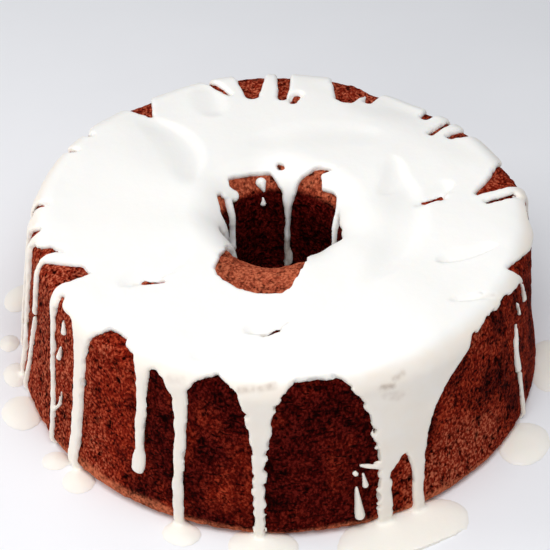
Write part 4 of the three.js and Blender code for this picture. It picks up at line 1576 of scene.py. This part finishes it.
@dataclass
class Sponge:
    """The baked sponge, with the relief of its open crumb.

    Attributes:
        shape: The cake's shape.
        finish: What it is dressed in.
        columns: How many columns of faces the side has.
        hole_columns: How many the hole and the lip have.
        seam_run: Where the two meet, under the glaze.
        bare_run: How far in the bare lip's fine rows reach.
        row_height: How high the side's rows are.
        band_calm: How much lower the relief is at the foot.
        band_height: How high above the foot's rounding that starts.
        band_fade: How long the way is over which it does.
        hollow_from: How deep a pore is where its painted shade starts.
        hollow_fade: How much deeper it is where that painted shade is darkest.
        foot_line: How high the paler band at the foot is, by azimuth.
        foot_fade: How softly that band ends.
        foot_crust_and_bounce: How far the band at the foot is crust; past 1, it paints the light that the
            floor throws under the foot.
        lip_crust: How far the lip is.
        lip_start: Where the paler lip starts, as a way past the flat top's inner edge.
        lip_fade: How long the way is over which it starts.
        dark_from: Where the painted shade on the hole's wall starts.
        dark_blend: How long the way is over which the paler lip ends there.
        dark_fade: How long the way is over which that painted shade deepens.
        hole_shade: How much darker than the side the hole's wall is painted, as shade in the hole.
        bake_and_light_line: How pale the side's crumb is, by azimuth: drier crumb, and painted light on the
            lit left and painted shade on the front.
        dry_and_lit_patch: How much paler the patch low on the side right of the widest drip is: drier crumb,
            and painted light from the floor.
        patch_azimuth: Where the middle of that patch is.
        patch_turn: How far it reaches to both sides, in degrees.
        patch_run: Where it starts, as a run.
        patch_fade: How long the way is over which it does.
    """

    shape: CakeShape
    finish: CrumbFinish = CrumbFinish()
    columns: int = 672
    hole_columns: int = 224
    seam_run: float = -22.0
    bare_run: float = -48.0
    row_height: float = 1.04
    band_calm: float = 0.25
    band_height: float = 9.0
    band_fade: float = 6.0
    hollow_from: float = 0.05
    hollow_fade: float = 0.75
    foot_line: tuple[tuple[float, float], ...] = (
        (-180, 6), (-60, 6.5), (-44, 10.8), (-26, 10.2), (-16, 7.2), (2, 5), (14, 7), (24, 6), (34, 9),
        (44, 7), (60, 5), (90, 5),
    )
    foot_fade: float = 4.0
    foot_crust_and_bounce: float = 1.2
    lip_crust: float = 0.6
    lip_start: float = -22.0
    lip_fade: float = 10.0
    dark_from: float = 20.0
    dark_blend: float = 6.0
    dark_fade: float = 8.0
    hole_shade: float = 0.2
    # Paler at the left, where the key light falls, and darkest on the front, which lies in shade: partly
    # browning, partly painted light and shade.
    bake_and_light_line: tuple[tuple[float, float], ...] = (
        (-180, 0.8), (-95, 1.0), (-60, 1.0), (-45, 0.68), (-34, 0.44), (-27, 0.3), (-8, 0.24), (20, 0.2),
        (30, 0.4), (42, 0.55), (60, 0.45), (80, 0.45), (110, 0.7),
    )
    # Painted light from the floor on the low side right of the widest drip, with drier crumb there.
    dry_and_lit_patch: float = 0.6
    patch_azimuth: float = 37.0
    patch_turn: float = 26.0
    patch_run: float = 42.0
    patch_fade: float = 30.0

    def _runs(self) -> tuple[Array, Array]:
        """The runs of the inner rows and of the outer rows, which meet at the seam.

        Returns:
            The inner runs and the outer ones.
        """
        shape = self.shape
        lip = -shape.top_width
        spans = (
            (shape.first_run, shape.hole_end, 3.0),
            (shape.hole_end, lip - shape.lip_arc, 1.1),
            (lip - shape.lip_arc, self.bare_run, 0.95),
            (self.bare_run, self.seam_run, 4.0),
        )
        inner = [np.arange(round((end - start) / step)) / round((end - start) / step) * (end - start) + start
                 for start, end, step in spans]
        rows = round((shape.last_run - self.seam_run) / self.row_height)
        outer = np.linspace(self.seam_run, shape.last_run, rows)
        return np.concatenate([*inner, [self.seam_run]]), outer

    def _block(self, runs: Array, columns: int, first: int) -> tuple[Array, Array, Array, Whole]:
        """A grid of places round the cake and the faces between them.

        Args:
            runs: The run of each row.
            columns: How many places a row has.
            first: The number of the first corner.

        Returns:
            The azimuths, the runs, the places and the faces.
        """
        azimuth, run = np.meshgrid(np.arange(columns) * 360.0 / columns - 180.0, runs)
        row, column = np.meshgrid(np.arange(len(runs) - 1), np.arange(columns), indexing="ij")
        number = first + row * columns + column
        beside = first + row * columns + (column + 1) % columns
        faces = np.stack([number, beside, beside + columns, number + columns], -1).reshape(-1, 4)
        return azimuth.ravel(), run.ravel(), self.shape.skin(azimuth, run).reshape(-1, 3), faces

    def _stitch(self, inner: int, outer: int, outward: bool) -> Whole:
        """The triangles between a ring of the hole's columns and a ring of the outer ones.

        Args:
            inner: The first corner of the hole's ring.
            outer: The first corner of the outer ring.
            outward: Whether the triangles face up.

        Returns:
            Three corner numbers for each triangle.
        """
        ratio = self.columns // self.hole_columns
        column = np.arange(self.columns)
        owner = (column + ratio // 2) // ratio % self.hole_columns
        after = (column + 1 + ratio // 2) // ratio % self.hole_columns
        beside = (column + 1) % self.columns
        fans = np.stack([inner + owner, outer + beside, outer + column], -1)
        steps = np.nonzero(owner != after)[0]
        links = np.stack([inner + owner[steps], inner + after[steps], outer + beside[steps]], -1)
        faces = np.concatenate([fans, links])
        return faces if outward else faces[:, ::-1]

    def _marks(self, azimuth: Array, run: Array, height: Array, crumb: Array) -> dict[str, Array]:
        """What the finish reads at each corner.

        Args:
            azimuth: The corners' azimuths.
            run: Their runs.
            height: How high above the floor they are.
            crumb: How far the crumb's relief stands out there.

        Returns:
            The painted shade in the pores, how pale the crumb is with its painted light and shade, and how
            far it is crust with painted bounce light at the foot, for each corner.
        """
        # The low patch right of the widest drip: drier crumb and painted light from the floor.
        low = smooth((run - self.patch_run) / self.patch_fade)
        low = low * smooth(1.0 - np.abs(azimuth - self.patch_azimuth) / self.patch_turn)
        past = -self.shape.top_width - run
        on_lip = smooth((past - self.lip_start) / self.lip_fade)
        on_lip = on_lip * smooth((self.dark_from - past) / self.dark_blend)
        # Painted shade down the hole's wall.
        shaded_hole = smooth((past - self.dark_from + self.dark_blend) / self.dark_fade)
        side = line_value(self.bake_and_light_line, azimuth) + self.dry_and_lit_patch * low
        bake_and_light = np.maximum(side * (1.0 - shaded_hole), on_lip) - self.hole_shade * shaded_hole
        at_foot = smooth((line_value(self.foot_line, azimuth) - height) / self.foot_fade) * (run > 0.0)
        # At the foot, crust and painted bounce light from the floor; on the lip, crust.
        crust_and_bounce = np.maximum(self.foot_crust_and_bounce * at_foot, self.lip_crust * on_lip)
        # Painted shade in the deep pores of the crumb's relief.
        hollow_shade = smooth((-self.hollow_from - crumb) / self.hollow_fade)
        return {"hollow_shade": hollow_shade, "bake_and_light": bake_and_light, "crust_and_bounce": crust_and_bounce}

    def build(self) -> bpy.types.Object:
        """Makes the sponge's mesh and dresses it."""
        inner_runs, outer_runs = self._runs()
        inner = self._block(inner_runs, self.hole_columns, 0)
        outer = self._block(outer_runs, self.columns, len(inner[0]))
        azimuth, run, points = (np.concatenate([inner[part], outer[part]]) for part in range(3))
        hole_foot, seam = 0, (len(inner_runs) - 1) * self.hole_columns
        foot = len(inner[0]) + (len(outer_runs) - 1) * self.columns
        band = smooth((run - self.shape.wall_end + self.band_height) / self.band_fade)
        crumb = CRUMB.relief(points, run) * (1.0 - self.band_calm * band)
        on_floor = (run <= self.shape.first_run) | (run >= self.shape.last_run)
        relief = np.where(on_floor, 0.0, crumb + CRUMB.slump.at(points))
        faces = [*inner[3].tolist(), *outer[3].tolist()]
        faces += self._stitch(seam, len(inner[0]), True).tolist()
        faces += self._stitch(hole_foot, foot, False).tolist()
        piece = make_piece("sponge_crumb", self.shape.skin(azimuth, run, relief), faces,
                           self.finish.material(), self._marks(azimuth, run, points[:, 2], crumb))
        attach(piece, "root")
        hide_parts("sponge")
        return piece


@dataclass(frozen=True)
class Pool:
    """Glaze that ran down onto the floor.

    Attributes:
        azimuth: Where its middle lies.
        distance: How far that is from the axis.
        along: Half its size round the cake.
        across: Half its size away from the cake.
    """

    azimuth: float
    distance: float
    along: float
    across: float


@dataclass
class Glaze:
    """The poured glaze, from the sheet on the top through its drips to the pools at the foot.

    Attributes:
        plan: Where it lies.
        finish: What it is dressed in.
        edge_width: How far in from its edge it is as thick as it gets.
        pool_edge: The same for a pool.
        pool_thickness: How thick the pools are.
        pool_height: Below which height there are pools.
        pool_start: How near the axis the pools reach under the cake.
        pool_waver: How the pools' edges waver.
        root_depth: How far into the sponge it reaches.
        meld: How softly the drips run into their pools.
        step: The distance between the corners of its grid.
        lowest_row: How high the grid's lowest row above the floor is.
        drop_step: The distance between the corners of a drop's grid.
        drop_margin: How much room that grid leaves round the drop.
        drop_thickness, drop_rise: How thick a drop is, and how much thicker for each part of its width.
        reach: How far from the axis the grid reaches.
        band: How far off the sponge it can lie.
        near: How much room the grid leaves under it and beside the pools.
        relaxing: How far each round of smoothing moves the corners to the middle of their neighbours.
        farthest, drop_farthest: How far each round moves them onto the true surface, at most.
        most_faces: How many triangles it may have.
        hidden_weight, top_weight, side_weight: How readily faces are taken away where it lies on the
            sponge, on the flat top, and elsewhere.
        thin_factor: How much those weights count.
        sharp_from: The angle from which an edge is shaded sharp, in radians.
        pools: What has run down to the floor.
        INSIDE, OUTSIDE: What the field is where it only has to be below 0 or above it.
        DIAGONAL: A little more than a square's half diagonal against its half side.
        TOP_ROOM: How much room the grid leaves over the top, and the pools over their edges.
        TOP_GAP: How high over the sponge's top a corner of the glaze's top lies.
        HIDDEN_GAP: How far off the sponge the corners are that lie on it.
    """

    plan: GlazePlan
    finish: GlazeFinish = GlazeFinish()
    edge_width: float = 1.9
    pool_edge: float = 9.0
    pool_thickness: float = 1.6
    pool_height: float = 12.0
    pool_start: float = 120.5
    pool_waver: Ripple = Ripple(41, 9.0, 0.5)
    root_depth: float = 0.9
    meld: float = 3.0
    step: float = 0.78
    lowest_row: float = 0.14
    drop_step: float = 0.4
    drop_margin: float = 3.0
    drop_thickness: float = 0.5
    drop_rise: float = 0.42
    reach: float = 146.0
    band: float = 4.5
    near: float = 3.0
    relaxing: tuple[float, ...] = (0.5, 0.5)
    farthest: float = 0.6
    drop_farthest: float = 0.3
    most_faces: int = 190_000
    hidden_weight: float = 1.0
    top_weight: float = 0.35
    side_weight: float = 0.05
    thin_factor: float = 10.0
    sharp_from: float = math.radians(75.0)
    pools: tuple[Pool, ...] = (
        Pool(24.3, 134, 32.5, 17),
        Pool(-3.2, 130, 16.4, 10.2),
        Pool(-19.3, 130.5, 9.3, 7.5),
        Pool(-44.6, 129.5, 8.4, 8),
        Pool(-52.2, 130.4, 6.6, 6.6),
        Pool(-68, 131, 12, 10),
        Pool(-79.5, 129.5, 9, 6.5),
        Pool(-89.4, 133, 6.5, 5.4),
        Pool(-103.6, 135.5, 11, 7.8),
        Pool(-130, 130, 9, 7),
        Pool(171, 132, 11, 8.6),
        Pool(134, 130, 9, 7),
        Pool(83, 131, 19, 9.2),
        Pool(59, 132.5, 15, 12),
    )

    INSIDE = -9.0
    OUTSIDE = 1.0
    DIAGONAL = 1.5
    TOP_ROOM = 2.0
    TOP_GAP = 0.8
    HIDDEN_GAP = 0.2

    def _pools_field(self, points: Array, wobble: Array) -> Array:
        """Below 0 inside the pools.

        Args:
            points: Places in space.
            wobble: How far the pools' edges waver there.

        Returns:
            The field at each place.
        """
        nearest = np.full(points.shape[:-1], -np.inf)
        for pool in self.pools:
            turn = math.radians(pool.azimuth)
            side = np.array([math.cos(turn), math.sin(turn)])
            out = np.array([math.sin(turn), -math.cos(turn)])
            around = points[..., :2] @ side / pool.along
            away = (points[..., :2] @ out - pool.distance) / pool.across
            share = 1.0 - np.sqrt(around * around + away * away)
            nearest = np.maximum(nearest, share * math.sqrt(pool.along * pool.across))
        edge = np.maximum(0.0, 1.0 - (nearest + wobble) / self.pool_edge)
        rise = np.maximum(points[..., 2], 0.0) / self.pool_thickness
        return (edge * edge + rise - 1.0) * self.pool_thickness

    def field(self, points: Array) -> Array:
        """Below 0 inside the glaze, and about as many millimetres off it as the value says.

        Args:
            points: Places in space.

        Returns:
            The field at each place.
        """
        chart = self.plan.chart
        azimuth, run, off = self.plan.shape.address(points)
        depth = chart.sample(self.plan.inside, azimuth, run)
        thickness = chart.sample(self.plan.thickness, azimuth, run)
        edge = np.maximum(0.0, 1.0 - depth / self.edge_width)
        sheet = (np.hypot(edge, np.maximum(off, 0.0) / thickness) - 1.0) * thickness
        sheet = np.maximum(sheet, -self.root_depth - off)
        low = points[..., 2] < self.pool_height
        if low.any():
            near = points[low]
            wobble = self.pool_waver.at(near * np.array([1.0, 1.0, 0.0]))
            pools = self._pools_field(near, wobble)
            sheet[low] = -meld(-sheet[low], -pools, self.meld)
            under = np.minimum(self.pool_start - np.hypot(near[:, 0], near[:, 1]), self.OUTSIDE)
            sheet[low] = np.maximum(sheet[low], np.where(off[low] < 0, under, self.INSIDE))
        return np.maximum(sheet, FLOOR_GAP - points[..., 2])

    def _drop(self, drop: Slot) -> tuple[Array, Whole]:
        """The surface of one small drop that clings to the crumb by itself.

        Args:
            drop: Where it lies.

        Returns:
            The corners, and four corner numbers for each face.
        """
        shape = self.plan.shape
        ends = np.array([[end.azimuth, end.run, end.width] for end in (drop.start, drop.end)])
        thickness = self.drop_thickness + self.drop_rise * ends[:, 2].max()
        places = shape.skin(ends[:, 0], ends[:, 1])
        margin = ends[:, 2].max() / 2 + self.drop_margin

        def field(points: Array) -> Array:
            """Below 0 inside the drop."""
            azimuth, run, off = shape.address(points)
            depth = drop.depth(Places(azimuth, run, shape.profile(run)[0]))
            half = ends[:, 2].max() / 2
            round_off = np.hypot(np.maximum(0.0, 1.0 - depth / half), np.maximum(off, 0.0) / thickness)
            return np.maximum((round_off - 1.0) * thickness, -self.root_depth - off)

        low = places.min(0) - margin
        counts = ((places.max(0) + margin - low) / self.drop_step).astype(int) + 2
        net = SurfaceNet(low, self.drop_step, tuple(counts.tolist()))
        points, faces = net.mesh(field(net.corners()))
        for share in self.relaxing:
            points = drawn_on(field, relaxed(points, faces, share), self.drop_farthest)
        return points, faces

    def _net(self) -> tuple[Array, Whole]:
        """The glaze's surface as a mesh, drawn onto the field.

        Returns:
            The corners, and four corner numbers for each face.
        """
        low = np.array([-self.reach, -self.reach, self.lowest_row - 2 * self.step])
        top = self.plan.shape.height + self.band + self.TOP_ROOM
        wide = int(2 * self.reach / self.step) + 2
        net = SurfaceNet(low, self.step, (wide, wide, int(top / self.step) + 4))
        right, away, up = net.axes()
        rings = np.arange(int(self.DIAGONAL * self.reach)) + 0.5
        ring, height = np.meshgrid(rings, up, indexing="ij")
        off = self.plan.shape.address(np.stack([ring, 0.0 * ring, height], -1))[2]
        close = (off > -self.root_depth - self.near) & (off < self.band)
        pooled = height < self.near + self.TOP_ROOM
        pooled = pooled & (ring > self.pool_start - self.near) & (ring < self.reach)
        likely = (close | pooled)[np.hypot(right[:, None], away[None, :]).astype(int)]
        numbers = np.nonzero(likely)
        values = np.full(net.counts, self.band)
        values[numbers] = self.field(np.stack([right[numbers[0]], away[numbers[1]], up[numbers[2]]], -1))
        points, faces = net.mesh(values)
        for share in self.relaxing:
            points = drawn_on(self.field, relaxed(points, faces, share), self.farthest)
        points[:, 2] = np.maximum(points[:, 2], FLOOR_GAP)
        return points, faces

    def _thin_out(self, piece: bpy.types.Object, points: Array) -> None:
        """Takes faces away where the glaze is smooth or lies on the sponge.

        Args:
            piece: The glaze.
            points: Its corners, in millimetres.
        """
        off = self.plan.shape.address(points)[2]
        on_top = points[:, 2] > self.plan.shape.height + self.TOP_GAP
        flat = np.where(on_top, self.top_weight, self.side_weight)
        flat = np.where(off < self.HIDDEN_GAP, self.hidden_weight, flat)
        group = piece.vertex_groups.new(name="smooth_parts")
        for weight in (self.hidden_weight, self.top_weight, self.side_weight):
            group.add(np.nonzero(flat == weight)[0].tolist(), weight, "REPLACE")
        triangles = 2 * len(piece.data.polygons)
        if triangles <= self.most_faces:
            return
        thin = piece.modifiers.new("thin", "DECIMATE")
        thin.ratio = self.most_faces / triangles
        thin.vertex_group = group.name
        thin.vertex_group_factor = self.thin_factor
        graph = bpy.context.evaluated_depsgraph_get()
        mesh = bpy.data.meshes.new_from_object(piece.evaluated_get(graph))
        for corner in mesh.vertices:
            corner.co.z = max(corner.co.z, FLOOR_GAP * MM)
        piece.modifiers.clear()
        piece.data = mesh
        piece.data.shade_smooth()
        piece.data.set_sharp_from_angle(angle=self.sharp_from)

    def _mark(self, piece: bpy.types.Object) -> None:
        """Stores where the crumb shows through and where the creases are painted with shade, and where the
        glaze hangs on the side.
        """
        corners = np.empty(3 * len(piece.data.vertices), dtype=np.float32)
        piece.data.vertices.foreach_get("co", corners)
        azimuth, run, _ = self.plan.shape.address(corners.reshape(-1, 3).astype(float) / MM)
        store(piece.data, "sheer_and_shade", self.plan.chart.sample(self.plan.sheer_and_shade, azimuth, run))
        store(piece.data, "hanging", smooth((run - 2.0) / 5.0))

    def build(self) -> bpy.types.Object:
        """Makes the glaze's mesh and dresses it."""
        points, faces = self._net()
        for drop in self.plan.drops:
            drop_points, drop_faces = self._drop(drop)
            faces = np.concatenate([faces, drop_faces + len(points)])
            points = np.concatenate([points, drop_points])
        piece = make_piece("poured_glaze", points, faces.tolist(), self.finish.material())
        self._thin_out(piece, points)
        self._mark(piece)
        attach(piece, "root")
        pools = [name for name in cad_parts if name.startswith("glaze_pool_")]
        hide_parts("glaze", *sorted(pools))
        return piece


@dataclass(frozen=True)
class Lamp:
    """A square soft light that points at the cake.

    Attributes:
        name: Its name.
        place: Where it hangs, in metres.
        size: The length of its side, in metres.
        power: How strong it is, in watts.
        colour: Its colour.
    """

    name: str
    place: tuple[float, float, float]
    size: float
    power: float
    colour: Colour = (1.0, 1.0, 1.0)

    def build(self, target: Vector) -> bpy.types.Object:
        """Hangs the light and turns it to the target.

        Args:
            target: What it points at, in metres.

        Returns:
            The lamp, linked to the scene.
        """
        light = bpy.data.lights.new(self.name, "AREA")
        light.shape = "SQUARE"
        light.size = self.size
        light.energy = self.power
        light.color = self.colour
        lamp = bpy.data.objects.new(self.name, light)
        lamp.location = self.place
        lamp.rotation_euler = (target - Vector(self.place)).to_track_quat("-Z", "Y").to_euler()
        bpy.context.scene.collection.objects.link(lamp)
        return lamp


@dataclass
class Studio:
    """The pale floor, the soft lights and the camera.

    Attributes:
        finish: What the floor is made of.
        floor_size: How long its sides are, in metres.
        eye: Where the camera is, in millimetres.
        aim: What it points at, in millimetres.
        focal_pixels: Its focal length, in pixels of the image.
        image_pixels: How wide the image is, in pixels.
        film: How wide the camera's sensor is.
        near_clip: From how near it sees, in metres.
        sky: The colour of the even light.
        sky_strength: How strong that light is.
        target: What the lamps point at, in metres.
        lamps: The lamps.
    """

    finish: FloorFinish = FloorFinish()
    floor_size: float = 8.0
    eye: tuple[float, float, float] = (0.0, -645.2, 609.8)
    aim: tuple[float, float, float] = (-2.25, 0.0, 44.2)
    focal_pixels: float = 1800.0
    image_pixels: float = 550.0
    film: float = 36.0
    near_clip: float = 0.01
    sky: Colour = (0.92, 0.95, 1.0)
    sky_strength: float = 0.37
    target: tuple[float, float, float] = (0.0, 0.0, 0.04)
    lamps: tuple[Lamp, ...] = (
        Lamp("key", (-1.0, 0.10, 0.50), 0.5, 4.55, (1.0, 0.985, 0.96)),
        Lamp("over", (0.03, -0.2, 0.62), 0.4, 2.5),
        Lamp("fill", (-0.6, -1.05, 0.5), 0.8, 2.5, (1.0, 0.97, 0.94)),
    )

    def _floor(self) -> bpy.types.Object:
        """The floor that the cake stands on."""
        half = self.floor_size / 2 / MM
        corners = np.array([[-half, -half, 0], [half, -half, 0], [half, half, 0], [-half, half, 0]], float)
        floor = make_piece("floor", corners, [[0, 1, 2, 3]], self.finish.material())
        return floor

    def _sky(self) -> None:
        """The even light from all round."""
        world = bpy.data.worlds.new("studio")
        world.use_nodes = True
        background = world.node_tree.nodes["Background"]
        background.inputs["Color"].default_value = (*self.sky, 1.0)
        background.inputs["Strength"].default_value = self.sky_strength
        bpy.context.scene.world = world

    def _camera(self) -> bpy.types.Object:
        """The camera, turned to its aim with no roll."""
        lens = bpy.data.cameras.new("camera")
        lens.sensor_width = self.film
        lens.lens = self.focal_pixels / self.image_pixels * self.film
        lens.clip_start = self.near_clip
        camera = bpy.data.objects.new("camera", lens)
        camera.location = Vector(self.eye) * MM
        way = (Vector(self.aim) - Vector(self.eye)).normalized()
        side = way.cross(Vector((0, 0, 1))).normalized()
        up = side.cross(way)
        camera.rotation_euler = Matrix((side, up, -way)).transposed().to_euler()
        bpy.context.scene.collection.objects.link(camera)
        bpy.context.scene.camera = camera
        return camera

    def build(self) -> None:
        """Sets the studio up."""
        self._floor()
        self._sky()
        for lamp in self.lamps:
            lamp.build(Vector(self.target))
        self._camera()
        view = bpy.context.scene.view_settings
        view.view_transform = "Standard"
        view.look = "None"


def describe(piece: bpy.types.Object) -> None:
    """Logs a piece's size and faces."""
    size = ", ".join(f"{part / MM:.1f}" for part in piece.dimensions)
    LOG.info("%s: %d faces, %s mm", piece.name, len(piece.data.polygons), size)


def main() -> None:
    """Builds the cake and the studio round it."""
    logging.basicConfig(level=logging.INFO, format="%(relativeCreated)d ms %(name)s: %(message)s")
    describe(Sponge(SHAPE).build())
    describe(Glaze(GlazePlan(SHAPE)).build())
    Studio().build()


if __name__ == "__main__":
    main()
